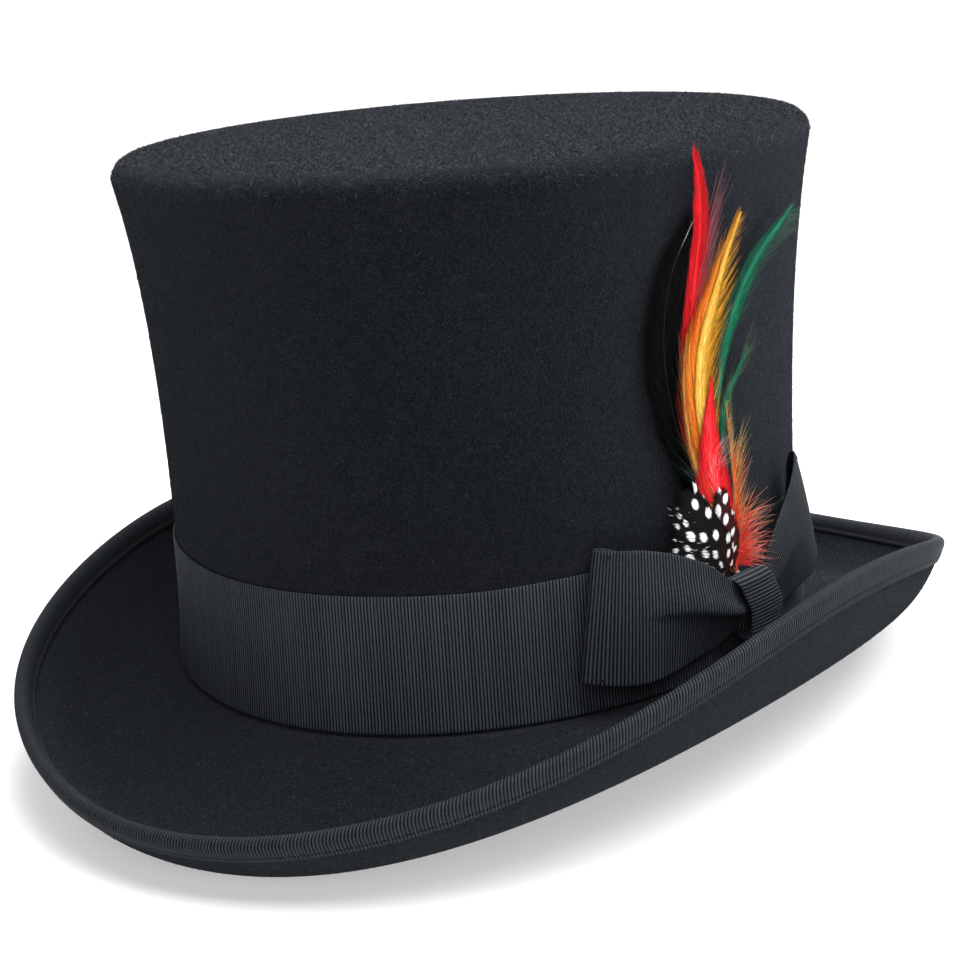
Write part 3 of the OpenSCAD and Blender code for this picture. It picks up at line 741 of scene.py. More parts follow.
def front_relief(x, q):
    """The front layer (x past the fold) is pinched at the knot: its upper half laps over a pleat and its lower half falls away under it."""
    pinch = step(0.60, 0.84, x) * (1 - 0.65 * step(0.945, 0.985, x))
    c0 = 0.50 - 0.06 * step(0.70, 1.0, x)
    over = step(c0 - 0.016, c0 + 0.016, q)
    upper = 1.4 * np.exp(-(((q - c0 - 0.08) / 0.17) ** 2)) * over
    lower = -(1.5 + 3.0 * cl((c0 - q) / c0)) * (1 - over)
    puff = 0.7 * np.sin(np.pi * q) * step(0.5, 0.62, x) * step(1.0, 0.8, x)
    return pinch * (upper + lower) + puff + back_relief(x, q)


def rear_relief(x, q):
    pinch = step(0.64, 0.90, x) * (1 - 0.65 * step(0.945, 0.985, x))
    fall = cl((0.52 - q) / 0.52)
    return pinch * (0.6 * np.exp(-(((q - 0.64) / 0.16) ** 2)) - 4.0 * fall**0.8) + back_relief(x, q)


front_ctrl = [
    [84.6, 13.6, 84.6, 26.0, 7.9],
    [82.4, 12.6, 82.3, 26.6, 7.9],
    [79.2, 12.4, 79.0, 27.6, 6.6],
    [74.0, 11.0, 74.2, 34.0, 4.6],
    [67.0, 10.0, 67.2, 40.4, 3.0],
    [60.0, 10.2, 61.4, 45.2, 2.1],
    [56.6, 10.2, 59.2, 46.4, 2.2],
    [55.2, 10.7, 58.2, 46.7, 3.2],
    [54.9, 10.8, 58.0, 46.8, 4.6],
    [55.8, 10.6, 58.6, 46.9, 6.0],
    [59.0, 9.4, 60.8, 46.6, 7.9],
    [64.0, 8.4, 64.8, 45.6, 9.6],
    [70.0, 9.1, 70.3, 42.1, 10.6],
    [75.6, 10.4, 75.7, 36.6, 10.9],
    [79.6, 11.6, 79.2, 31.2, 10.5],
    [82.4, 12.9, 82.1, 27.4, 9.7],
    [84.6, 13.6, 84.4, 26.0, 9.3],
]
rear_ctrl = [
    [89.4, 13.8, 88.6, 26.0, 8.0],
    [91.6, 13.0, 90.8, 26.6, 7.8],
    [95.0, 12.8, 94.0, 28.5, 6.4],
    [100.0, 14.0, 98.3, 31.5, 4.8],
    [106.5, 15.4, 102.4, 36.5, 3.2],
    [112.6, 17.0, 105.4, 45.0, 2.5],
    [116.0, 18.2, 105.3, 52.2, 3.0],
    [117.4, 18.7, 104.5, 54.8, 4.2],
    [117.5, 18.7, 103.6, 55.5, 5.6],
    [115.5, 18.0, 102.5, 54.6, 6.7],
    [111.5, 16.8, 100.3, 50.4, 7.5],
    [106.0, 15.6, 97.3, 45.8, 8.1],
    [101.0, 14.6, 94.2, 41.8, 8.7],
    [97.0, 13.6, 91.4, 37.8, 9.3],
    [93.8, 13.0, 89.4, 33.8, 9.7],
    [91.6, 12.8, 88.2, 30.6, 9.7],
    [89.4, 13.6, 87.2, 28.2, 9.3],
]
bow = {}
for name, node, ctrl, relief in (
    ("bow_front_ribbon", "bow_front_loop", front_ctrl, front_relief),
    ("bow_rear_ribbon", "bow_rear_loop", rear_ctrl, rear_relief),
):
    mid, along, length = loop_mid(ctrl, Q, relief)
    co, faces, own = strip(mid, 0.8, 0.24, length / round(length / PITCH), along, Q * 39.5)
    bow[name] = (piece(name, co, faces, "hat", BOW_MAT, [node], vectors={"rib": own}), length, mid)

# the knot: a ribbon sleeve round the bow's waist; its ribs lie along the band
k_turn = math.atan2(-B * math.cos(math.radians(87.0)), A * math.sin(math.radians(87.0)))
k_out = np.array([math.cos(k_turn), math.sin(k_turn), 0.0])
k_way = np.array([-math.sin(k_turn), math.cos(k_turn), 0.0])
k_at = on_crown(87.0, 20.0, 0.0)
k_at[2] = Z0
# rounded box path: out, up
path = []
for cx, cz, a0 in ((9.0, 28.0, 0), (8.6, 28.0, 90), (8.6, 12.8, 180), (9.0, 12.8, 270)):
    for a in np.radians(a0 + np.linspace(0, 90, 7)):
        path.append([cx + 1.95 * math.cos(a), cz + 2.0 * math.sin(a)])
path = np.array(path + path[:1])
seg = np.concatenate([[0], np.cumsum(np.linalg.norm(np.diff(path, axis=0), axis=1))])
ribs = int(round(seg[-1] / 1.1))
nu = ribs * 8
x = np.arange(nu) * seg[-1] / nu
px, pz = np.interp(x, seg, path[:, 0]), np.interp(x, seg, path[:, 1])
px = px + 0.9 * np.exp(-(((pz - 22) / 8) ** 2)) * step(8.8, 10.5, px)
qk = np.concatenate([[0, 0.012, 0.035], np.linspace(0.08, 0.92, 13), [0.965, 0.988, 1.0]])
side = (qk - 0.5) * 15.4
flare = 1 + 0.05 * np.cos((pz - 20) / 9 * np.pi / 2)[:, None] * 0 - 0.10 * np.exp(-(((pz - 12) / 5) ** 2))[:, None]
skew = (-0.52 * np.maximum(pz - 19, 0) - 0.06 * np.maximum(19 - pz, 0))[:, None]
puff = 0.35 * np.cos(np.pi * (qk - 0.5))[None] * step(8.8, 10.5, px)[:, None]
mid = k_at + (px[:, None] + puff)[..., None] * k_out + (side[None] * flare + skew)[..., None] * k_way + pz[:, None, None] * np.array([0, 0, 1.0])
co, faces, own = strip(mid, 0.9, 0.28, seg[-1] / ribs, x, qk * 15.0, wrap=True)
knot = piece("bow_knot_ribbon", co, faces, "hat", BOW_MAT, ["bow_knot"], vectors={"rib": own})

# tack stitches at the loops' outer corners
lines = []
for name, spots in (("bow_front_ribbon", ((0.535, 0.95), (0.535, 0.05))), ("bow_rear_ribbon", ((0.535, 0.94), (0.535, 0.06)))):
    mid = bow[name][2]
    nu = len(mid)
    grad_u, grad_q = np.gradient(mid, axis=0), np.gradient(mid, axis=1)
    for x_at, q_at in spots:
        iu, iq = int(x_at * nu), int(np.argmin(np.abs(Q - q_at)))
        nn = np.cross(grad_u[iu, iq], grad_q[iu, iq])
        nn /= np.linalg.norm(nn)
        nn *= 1.0 if nn @ (mid[iu, iq] * [1, 1, 0]) > 0 else -1.0
        du = grad_u[iu, iq] / np.linalg.norm(grad_u[iu, iq])
        dq = grad_q[iu, iq] / np.linalg.norm(grad_q[iu, iq])
        for off in (-0.22, 0.22):
            k = np.linspace(-1, 1, 7)[:, None]
            lines.append(mid[iu, iq] + du * 0.8 * k + dq * (off + 0.1 * k) + nn * (0.38 + 0.14 * (1 - k**4)))
co, faces = tubes(np.array(lines), np.broadcast_to(0.13 * np.sqrt(np.maximum(1 - np.abs(np.linspace(-1, 1, 7)) ** 5, 0.1)), (len(lines), 7)), 6)
piece("bow_tack_stitches", co, faces, "hat", THREAD_MAT, ["bow_tacks"])

# ---------------------------------------------------------------------------
# Inside: sweatband and lining
# ---------------------------------------------------------------------------
so = -FELT - 2 * GAP - 0.4
v_out = np.array([33.9, 30.0, 20.0, 10.0, 4.0, 0.0, -1.3])
v_in = np.array([-1.5, -1.45, -1.0, 1.5, 3.0, 4.4, 8.0, 14.0, 20.0, 26.0, 31.0, 33.2, 33.8, 34.0])
n_in = np.array([-0.1, -0.6, -1.0, -1.15, -0.95, -1.2, -1.25, -1.2, -1.2, -1.2, -1.2, -1.1, -0.8, -0.3])
fo, vo = np.meshgrid(F, v_out, indexing="ij")
fi, vi = np.meshgrid(F, v_in, indexing="ij")
pucker = 0.18 * waves(51, fi, vi, 9, 4, 26, 14.0) * step(2, 14, vi)
ring = np.concatenate([on_crown(fo, vo, so), on_crown(fi, vi, so + n_in[None] + np.minimum(pucker, 0.1))], 1)
sweat = piece("sweatband_leather", ring, [quads(NF, ring.shape[1], True, True)], "hat", LEATHER_MAT, ["sweatband"])
n_st = 210
k = np.linspace(-1, 1, 6)
ff = (np.arange(n_st) * 360 / n_st)[:, None] + 0.6 * k
co, faces = tubes(on_crown(ff, 3.0, so - 1.05 - 0.12 * (1 - k**4)), np.broadcast_to(0.16 * np.sqrt(np.maximum(1 - np.abs(k) ** 5, 0.1)), ff.shape), 5)
piece("sweatband_stitches", co, faces, "hat", THREAD_MAT, ["sweatband_thread"])

lo = -FELT - GAP
v_l = np.concatenate([np.linspace(18, 140, 30), [143]])
NL = 480
FL = np.arange(NL) * 360.0 / NL
fl, vl = np.meshgrid(FL, v_l, indexing="ij")
fold = 0.55 * np.maximum(waves(61, fl, vl, 10, 9, 40, 120.0), -0.2) * step(36, 50, vl) + 0.12
outer = on_crown(fl, vl, lo - np.maximum(fold, 0) * 0.9 - 0.02)
inner = on_crown(fl[:, ::-1], vl[:, ::-1], lo - (np.maximum(fold, 0) * 0.9 + 0.3)[:, ::-1])
ring = np.concatenate([outer, inner], 1)
lining = piece("lining_side_satin", ring, [quads(NL, ring.shape[1], True, True)], "hat", LINING_MAT, ["lining_side"])
ea, eb = semi_a(H - TIP_R) - TIP_R - 0.6, semi_b(H - TIP_R) - TIP_R - 0.6
kk = np.concatenate([np.linspace(0.04, 0.97, 14), [1.0]])
r = np.radians(FL)
zt = Z0 + H - FELT - 1.6
pleat = 0.28 * waves(67, FL, 0 * FL, 8, 9, 34)
upper = np.stack([np.stack([eb * q * np.sin(r), -ea * q * np.cos(r), zt + 0.35 * 0 + pleat * q**3 * 0.6], -1) for q in kk], 1)
lower = upper[:, ::-1] - np.array([0, 0, 0.4])
ring = np.concatenate([upper, lower], 1)
nr = ring.shape[1]
i = np.arange(NL)
co = np.concatenate([ring.reshape(-1, 3), ring[:, 0].mean(0)[None], ring[:, -1].mean(0)[None]])
faces = [
    quads(NL, nr, True, False),
    np.stack([np.full(NL, NL * nr), i * nr, ((i + 1) % NL) * nr], -1),
    np.stack([np.full(NL, NL * nr + 1), ((i + 1) % NL) * nr + nr - 1, i * nr + nr - 1], -1),
]
lining_tip = piece("lining_tip_satin", co, faces, "hat", LINING_MAT, ["lining_tip"])


# ---------------------------------------------------------------------------
# Plume
# ---------------------------------------------------------------------------
def lin(r, g, b):
    """A display colour, 0 to 255, as a linear one."""
    c = np.array([r, g, b], float) / 255
    return np.where(c < 0.04045, c / 12.92, ((c + 0.055) / 1.055) ** 2.4)


def spine_frame(ctrl, count):
    line, length = curve(ctrl, count, lambda c: on_crown(c[:, 0], c[:, 1], c[:, 2]))
    p = on_crown(line[:, 0], line[:, 1], line[:, 2])
    t = np.gradient(p, axis=0)
    t /= np.linalg.norm(t, axis=1, keepdims=True)
    r = np.radians(line[:, 0])
    o = np.stack([np.sin(r), -np.cos(r), 0 * r], -1)
    o -= t * np.einsum("ij,ij->i", o, t)[:, None]
    o /= np.linalg.norm(o, axis=1, keepdims=True)
    s = np.cross(o, t)  # towards the front of the hat
    return p, t, o, s, length


# quills and their thread wrap, behind the knot
stem_turn = math.atan2(-B * math.cos(math.radians(85.5)), A * math.sin(math.radians(85.5)))
rz = np.array(Matrix.Rotation(stem_turn, 3, "Z"))
ry = np.array(Matrix.Rotation(math.radians(8), 3, "Y"))
rx = np.array(Matrix.Rotation(math.radians(6), 3, "X"))
stem = rz @ ry @ rx
stem_at = on_crown(85.5, 13.5, RIBBON + 2 * GAP + 0.3 + 1.0)
stem_top = stem_at + stem @ np.array([0, 0, 14.6])


class Barbs:
    """Collects thin tapered strands and their colours, and makes one mesh of them."""

    power = 1.6

    def __init__(self):
        self.co, self.faces, self.col, self.n = [], [], [], 0

    def add(self, base, t, o, s, length, angle, ease, lift, width, thick, colour, k=6, curl=0.0):
        """Strands from base (m, 3). Each leaves its shaft at angle (signed: + is towards the front) and turns towards the tip by the share ease.
        lift: how far its end stands out, mm; colour: (m, k, 3), or a rule from the points and the share along each strand."""
        m = len(base)
        r = np.linspace(0, 1, k)
        ang = np.radians(angle)[:, None] * (1 - ease * r) + np.radians(curl if np.ndim(curl) else np.full(m, curl))[:, None] * r**2
        dl = length[:, None] / (k - 1)
        mid = (ang[:, 1:] + ang[:, :-1]) / 2
        x = np.concatenate([np.zeros((m, 1)), np.cumsum(np.sin(mid) * dl, 1)], 1)
        y = np.concatenate([np.zeros((m, 1)), np.cumsum(np.cos(mid) * dl, 1)], 1)
        z = lift[:, None] * r**2
        self.lay(base[:, None] + x[..., None] * s[:, None] + y[..., None] * t[:, None] + z[..., None] * o[:, None], o[:, None], width, thick, colour)

    def lay(self, c, o, width, thick, colour):
        """Strands along the points c (m, k, 3), flat side out along o."""
        m, k = c.shape[:2]
        r = np.linspace(0, 1, k)
        if callable(colour):
            colour = colour(c, r)
        w = np.cross(np.broadcast_to(o, c.shape), np.gradient(c, axis=1))
        w /= np.maximum(np.linalg.norm(w, axis=-1, keepdims=True), 1e-12)
        taper = (1 - 0.85 * r**self.power)[None, :, None]
        hw, ht = width[:, None, None] / 2 * taper, thick[:, None, None] * taper
        v = np.stack([c - w * hw, c + w * hw, c + o * ht], 2)  # m, k, 3, 3
        start = self.n + (np.arange(m) * k * 3)[:, None, None]
        self.faces.append((quads(k, 3, False, True)[None] + start).reshape(-1, 4))
        cap = np.arange(3)[None] + start[:, :, 0]
        self.caps = getattr(self, "caps", [])
        self.caps += [cap, (cap + (k - 1) * 3)[:, ::-1]]
        self.co.append(v.reshape(-1, 3))
        self.col.append(np.repeat(colour[:, :, None], 3, 2).reshape(-1, 3))
        self.n += m * k * 3

    def shaft(self, p, radius, colour, sides=5):
        p = np.concatenate([[stem_top, stem_top * 0.45 + p[0] * 0.55], p])
        radius, colour = np.concatenate([radius[[0, 0]], radius]), np.concatenate([colour[[0, 0]], colour])
        co, faces = tubes(p[None], radius[None], sides)
        self.co.append(co)
        self.faces.append(faces[0] + self.n)
        self.tails = getattr(self, "tails", [])
        self.tails += [f + self.n for f in faces[1:]]
        self.col.append(np.repeat(colour, sides, 0))
        self.n += len(co)

    def make(self, name, mat, node, body="plume"):
        co, col = np.concatenate(self.co), np.concatenate(self.col)
        faces = [np.concatenate(self.faces)]
        if getattr(self, "caps", None):
            faces.append(np.concatenate(self.caps))
        if getattr(self, "tails", None):
            faces.append(np.concatenate(self.tails))
        return piece(
            name, co, faces, body, mat, [node] if node else [],
            colours={"tint": np.concatenate([np.clip(col, 0, 1), np.ones((len(col), 1))], 1)},
        )


def picker(arr):
    at = np.linspace(0, 1, len(arr))
    return lambda x: np.stack([np.interp(x, at, arr[:, q]) for q in range(3)], 1)


def beside(frame_, u, y, z):
    """Points beside a shaft: u mm along it (past its tip too), y mm towards the front, z mm out."""
    p, t, o, s, length = frame_
    x = np.clip(u / length, 0, 1)
    at = np.linspace(0, 1, len(p))
    pos, tt, oo, ss = [np.stack([np.interp(x, at, q[:, i]) for i in range(3)], -1) for q in (p, t, o, s)]
    return pos + tt * np.maximum(u - length, 0)[..., None] + ss * y[..., None] + oo * z[..., None], oo


def vane(b, ctrl, seed, left, right, angle, ease, colour, start=0.25, spacing=0.3, width=0.36, thick=0.09, k=7, clump=5.0, lift=0.3, jitter=0.12, over=2.0, spread=0.18, rough=0.08, fill=0.35, short=(0.0, 0.0), root=0.02):
    """Barbs on both sides of a shaft, which they bend along with. left and right: half widths in mm where the barbs end, from base (0) to tip (1);
    colour(x, r, side, rnd): (m, k, 3) from the place along the shaft and along each barb; over: how far the last ones pass the shaft's tip;
    short: share of the shaft left free at the tip on each side; root: lowest place a barb can spring from."""
    g = np.random.default_rng(seed)
    fr = spine_frame(ctrl, 400)
    length = fr[4]
    for sign, prof, less in ((1, left, short[0]), (-1, right, short[1])):
        stop = 1.0 - less + over / length
        m = int(length * (stop - start) / spacing)
        xe = start + (stop - start) * (np.arange(m) + g.uniform(0, 0.9, m)) / m
        group = np.floor(xe * length / clump + g.uniform(0, 1)).astype(int)
        drift = np.random.default_rng(seed + 5 + sign).uniform(-1, 1, int(group.max()) + 2)[group]
        a = np.radians(angle * np.clip(1 + spread * drift + jitter * g.normal(size=m), 0.4, 1.8))
        reach = np.interp(xe, np.linspace(0, 1, len(prof)), prof) * (1 + 0.5 * spread * drift + rough * g.normal(size=m))
        reach = np.maximum(reach, 0.12) * np.where(g.uniform(size=m) < fill, g.uniform(0.15, 1.0, m), 1.0)
        r = np.linspace(0, 1, k)
        ang = a[:, None] * (1 - ease * r)
        y = np.concatenate([np.zeros((m, 1)), np.cumsum(np.sin((ang[:, 1:] + ang[:, :-1]) / 2), 1)], 1)
        w = np.concatenate([np.zeros((m, 1)), np.cumsum(np.cos((ang[:, 1:] + ang[:, :-1]) / 2), 1)], 1)
        go = np.minimum(reach * w[:, -1] / y[:, -1], (xe - root) * length)
        u = (xe * length - go)[:, None] + go[:, None] * w / w[:, -1:]
        z = (lift * (0.4 + g.uniform(0, 1, m)))[:, None] * r**2
        c, oo = beside(fr, u, sign * reach[:, None] * y / y[:, -1:], z)
        b.lay(c, oo, width * g.uniform(0.75, 1.2, m), np.full(m, thick), colour(xe, r, sign, g.uniform(0, 1, m)))
    return fr


def wisps(b, ctrl, seed, count, span, side, length, angle, colour, ease=0.3, width=0.14, lift=1.0, k=7, curl=20.0):
    """Loose single barbs."""
    g = np.random.default_rng(seed)
    p, t, o, s, _ = spine_frame(ctrl, 400)
    x = g.uniform(*span, count)
    sign = np.where(g.uniform(size=count) < (side + 1) / 2, 1, -1)
    rnd = g.uniform(0, 1, count)
    b.add(
        picker(p)(x), picker(t)(x), picker(o)(x), picker(s)(x), g.uniform(*length, count), sign * g.uniform(*angle, count), ease,
        lift * g.uniform(0.1, 1.2, count), width * g.uniform(0.7, 1.3, count), np.full(count, 0.06), colour(x, np.linspace(0, 1, k), sign, rnd), k, g.uniform(-curl, curl, count),
    )


def blend_of(stops, q):
    """Colours along q from (place, colour) stops."""
    at = [a for a, _ in stops]
    return np.stack([np.interp(q, at, [c[i] for _, c in stops]) for i in range(3)], -1)


def shades(stops_root, spread=0.22):
    """A colour rule: the same stops along each barb, with a random brightness for each barb."""

    def rule(x, r, side, rnd):
        base = blend_of(stops_root, np.broadcast_to(r, (len(x), len(r))))
        return base * (1 - spread + 2 * spread * rnd)[:, None, None]

    return rule


FEATHER = {
    k: feather_material("feather_" + k, *v)
    for k, v in {"black": (0.0, 0.5, 0.03), "green": (0.0, 0.5, 0.10), "red": (0.02, 0.5, 0.15), "yellow": (0.02, 0.5, 0.15), "olive": (0.03, 0.5, 0.2), "fluff": (0.03, 0.55, 0.15), "guinea": (0.01, 0.55, 0.08)}.items()
}
black_c = [[82.6, 31.4, 2.8], [81.0, 41, 2.6], [77.8, 55, 2.6], [74.4, 72, 2.6], [72.3, 86, 2.6], [71.5, 98, 2.6], [71.9, 109, 2.6], [73.2, 119, 2.6], [75.4, 126.5, 2.6], [76.8, 131, 2.6]]
green_c = [[85, 31.4, 2.8], [84.4, 43, 2.6], [83.2, 62, 2.6], [82.6, 78, 2.6], [83.1, 88, 2.6], [84.4, 97, 2.8], [86.3, 105, 3], [88.6, 112, 3.4], [91.6, 118.2, 3.8], [95.4, 123.2, 4.4], [99.4, 127.4, 5]]
green2_c = [[85.5, 31.4, 3.7], [85, 43, 3.6], [84, 60, 3.6], [83.2, 74, 3.6], [84.6, 81, 3.6], [86.8, 85.8, 3.6], [89.4, 91, 3.6]]
red_c = [[83.2, 31.4, 3.7], [82, 43, 3.6], [80.0, 60, 3.6], [78.0, 72, 3.6], [76.6, 84, 3.6], [76.1, 96, 3.6], [76.5, 108, 3.6], [77.1, 119, 3.6], [77.5, 128, 3.6], [77.1, 136, 3.6], [76.3, 143, 3.6], [75.5, 147.6, 3.6]]
yellow_c = [[84, 31.4, 4.6], [82.8, 43, 4.6], [80.4, 60, 4.6], [78.2, 73, 4.6], [77.4, 83, 4.6], [77.7, 93, 4.6], [78.7, 101.5, 4.6], [80.4, 110, 4.6], [82.4, 120, 4.6], [85.0, 130.2, 4.6]]
red2_c = [[84.2, 31.4, 5.5], [82.4, 42, 5.6], [80.5, 53, 5.6], [79.5, 62, 5.6], [79.1, 71, 5.6], [79.2, 80, 5.6], [79.4, 86.6, 5.6]]
olive_c = [[82.3, 31.4, 5.4], [80.3, 43, 5.6], [78.0, 56, 5.6], [75.8, 65, 5.6], [74.8, 72.5, 5.6], [74.1, 82, 5.6], [74.0, 92, 5.6], [74.5, 100, 5.6]]
fluff_c = [[84.6, 31.4, 5.4], [84.4, 39, 5.6], [84.5, 50, 5.6], [84.2, 60, 5.6], [83.5, 69, 5.6], [82.8, 77, 5.6]]
guinea_r_c = [[82.9, 31.0, 6.5], [82.6, 36, 6.6], [82.2, 41.5, 6.6], [81.7, 46.5, 6.6], [81.3, 51, 6.6], [81.0, 54, 6.6]]
guinea_l_c = [[82.0, 31.0, 7.4], [80.6, 36, 7.6], [78.6, 42, 7.6], [77.0, 47, 7.6], [75.6, 52, 7.6], [74.6, 56.5, 7.6]]


def flat_shaft(b, frame_, r0, r1, c0, c1):
    p = frame_[0][::5]
    q = np.linspace(0, 1, len(p))
    b.shaft(p + frame_[2][::5] * 0.06, r0 + (r1 - r0) * q, blend_of([(0, c0), (1, c1)], q))


def dyed_shaft(b, frame_, r0, r1):
    """A shaft that is orange-brown low down and green above."""
    p = frame_[0][::5]
    q = np.linspace(0, 1, len(p))
    b.shaft(p + frame_[2][::5] * 0.06, r0 + (r1 - r0) * q, blend_of([(0, lin(196, 82, 44)), (0.45, lin(160, 92, 48)), (0.6, lin(18, 70, 54)), (1, lin(22, 90, 70))], q))


def over_r(x, r):
    return np.broadcast_to(r, (len(x), len(r)))


# long black feather, its shaft paler towards the tip
b = Barbs()
fr = vane(b, black_c, 101, [0.5, 1.0, 2.4, 4.6, 6.0, 6.4, 6.4, 6.2, 5.2, 2.6], [0.5, 1.0, 2.4, 4.2, 5.0, 5.4, 5.4, 5.0, 4.0, 2.0], 24, 0.45,
          shades([(0, lin(5, 5, 6)), (1, lin(9, 9, 10))], 0.35), 0.16, 0.2, 0.4, clump=7.0, rough=0.05)
wisps(b, black_c, 103, 18, (0.3, 0.85), 0.8, (6, 13), (18, 40), shades([(0, lin(14, 14, 16)), (1, lin(30, 31, 34))], 0.3), width=0.1)
ps = fr[0][::5]
q = np.linspace(0, 1, len(ps))
b.shaft(ps + fr[2][::5] * 0.1, np.interp(q, [0, 0.5, 0.84, 0.93, 1], [0.24, 0.11, 0.06, 0.10, 0.07]), blend_of([(0, lin(30, 29, 28)), (0.35, lin(34, 34, 36)), (0.84, lin(40, 40, 42)), (0.925, lin(56, 56, 60)), (0.955, lin(186, 186, 192)), (1, lin(216, 216, 220))], q))
b.make("feather_black_barbs", FEATHER["black"], "feather_black")


# long green feather, darker on its front side, with loose dark barbs
def green_rule(x, r, side, rnd):
    front = [(0, lin(16, 82, 62)), (0.5, lin(14, 76, 58)), (1, lin(10, 60, 46))]
    back = [(0, lin(16, 98, 72)), (0.5, lin(26, 126, 92)), (0.8, lin(24, 120, 88)), (1, lin(12, 80, 60))]
    base = blend_of(front if side > 0 else back, over_r(x, r))
    return base * (0.72 + 0.5 * rnd)[:, None, None]


b = Barbs()
fr = vane(b, green_c, 111, [0.3, 0.3, 0.3, 0.35, 0.6, 1.5, 2.7, 3.5, 3.4, 2.2, 0.4], [0.3, 0.3, 0.3, 0.35, 0.6, 1.6, 2.9, 3.7, 3.6, 2.4, 0.4], 13, 0.5,
          green_rule, 0.5, 0.1, 0.42, clump=9.0, over=1.5, rough=0.05, spread=0.1, root=0.4)
wisps(b, green_c, 113, 170, (0.55, 0.97), -1, (10, 22), (16, 40), lambda x, r, sd, rnd: blend_of([(0, lin(26, 92, 70)), (0.5, lin(38, 76, 64)), (1, lin(76, 94, 88))], over_r(x, r)) * (0.6 + 0.6 * rnd)[:, None, None], width=0.11)
wisps(b, green_c, 114, 12, (0.9, 0.985), 0.0, (4, 7), (4, 12), shades([(0, lin(28, 108, 82)), (1, lin(60, 140, 116))], 0.2), width=0.14)
dyed_shaft(b, fr, 0.2, 0.05)
b.make("feather_green_barbs", FEATHER["green"], "feather_green_long")

# short green feather
b = Barbs()
fr = vane(b, green2_c, 121, [0.3, 0.3, 0.3, 0.4, 0.8, 1.7, 2.0, 1.2, 0.3], [0.3, 0.3, 0.3, 0.4, 0.8, 1.8, 2.0, 1.2, 0.3], 13, 0.35,
          shades([(0, lin(30, 112, 86)), (0.6, lin(22, 94, 72)), (1, lin(34, 80, 60))], 0.25), 0.5, 0.13, 0.3, clump=5.0, over=1.0, root=0.4)
wisps(b, green2_c, 123, 34, (0.6, 0.98), -0.5, (7, 15), (6, 22), shades([(0, lin(44, 104, 74)), (1, lin(110, 112, 76))], 0.25), width=0.11)
dyed_shaft(b, fr, 0.2, 0.05)
b.make("feather_green_short_barbs", FEATHER["green"], "feather_green_short")


# long red feather, brush-ended, with wine-coloured loose barbs
def red_rule(x, r, side, rnd):
    base = blend_of([(0, lin(252, 30, 42)), (0.5, lin(246, 18, 32)), (1, lin(226, 10, 26))], over_r(x, r))
    if side < 0:
        base = base * 0.8
    low = step(0.60, 0.46, x)[:, None, None] * (0.6 + 0.4 * r[None, :, None])
    base = base * (1 - low) + low * lin(250, 96, 30)
    return base * (0.72 + 0.46 * rnd)[:, None, None]


b = Barbs()
fr = vane(b, red_c, 131, [0.3, 0.5, 1.0, 1.8, 2.8, 3.3, 3.0, 2.7, 2.5, 2.3, 2.1, 0.8], [0.3, 0.5, 1.0, 1.8, 2.8, 3.8, 4.4, 4.3, 3.4, 2.7, 2.4, 1.2], 7, 0.3,
          red_rule, 0.25, 0.06, 0.36, clump=6.0, over=1.6, spread=0.14, rough=0.14, fill=0.6)
wisps(b, red_c, 133, 190, (0.44, 0.77), -1, (12, 28), (9, 24), shades([(0, lin(216, 24, 42)), (0.3, lin(178, 34, 56)), (0.7, lin(168, 72, 86)), (1, lin(196, 150, 156))], 0.35), 0.25, 0.11, 1.2, curl=8.0)
wisps(b, red_c, 135, 34, (0.92, 0.985), 0.0, (4, 7.5), (1, 8), shades([(0, lin(240, 24, 36)), (1, lin(214, 24, 38))], 0.25), 0.2, 0.16, 0.5, curl=5.0)
flat_shaft(b, fr, 0.24, 0.08, lin(220, 50, 56), lin(240, 40, 52))
b.make("feather_red_barbs", FEATHER["red"], "feather_red_long")


# yellow feather: bright along its shaft, orange on its front side, loose on its rear side
def yellow_rule(x, r, side, rnd):
    mid, front, back = lin(255, 198, 66), lin(255, 138, 30), lin(248, 178, 46)
    far = front if side > 0 else back
    streak = np.array([lin(238, 66, 28), lin(255, 140, 30), lin(255, 178, 52)])[np.minimum((rnd * 3).astype(int), 2)][:, None]
    tip = lin(244, 88, 24) if side > 0 else lin(190, 136, 36)
    base = blend_of([(0, mid), (0.2, mid), (0.55, far), (1, tip)], over_r(x, r))
    if side > 0:
        some = (0.75 * step(0.15, 0.5, over_r(x, r)) * step(0.9, 0.7, x)[:, None])[..., None]
        base = base * (1 - some) + streak * some
    high = (step(0.78, 0.94, x)[:, None] * step(0.3, 0.7, over_r(x, r)))[..., None]
    base = base * (1 - high) + high * lin(206, 144, 44)
    low = step(0.42, 0.24, x)[:, None, None]
    base = base * (1 - low) + low * lin(250, 92, 28)
    return base * (0.62 + 0.66 * np.roll(rnd, 1))[:, None, None]


def ember_rule(x, r, side, rnd):
    """Loose red and orange barbs on the front side."""
    base = blend_of([(0, lin(255, 150, 40)), (0.5, lin(246, 84, 26)), (1, lin(206, 30, 32))], np.clip(over_r(x, r) + 0.5 * (rnd - 0.5)[:, None], 0, 1))
    high = step(0.74, 0.9, x)[:, None, None]
    base = base * (1 - high) + high * lin(196, 130, 40)
    return base * (0.6 + 0.5 * np.roll(rnd, 1))[:, None, None]


def core_rule(x, r, side, rnd):
    base = blend_of([(0, lin(255, 210, 108)), (1, lin(255, 192, 70))], over_r(x, r))
    low = step(0.36, 0.22, x)[:, None, None]
    base = base * (1 - low) + low * lin(252, 128, 44)
    return base * (0.86 + 0.32 * rnd)[:, None, None]


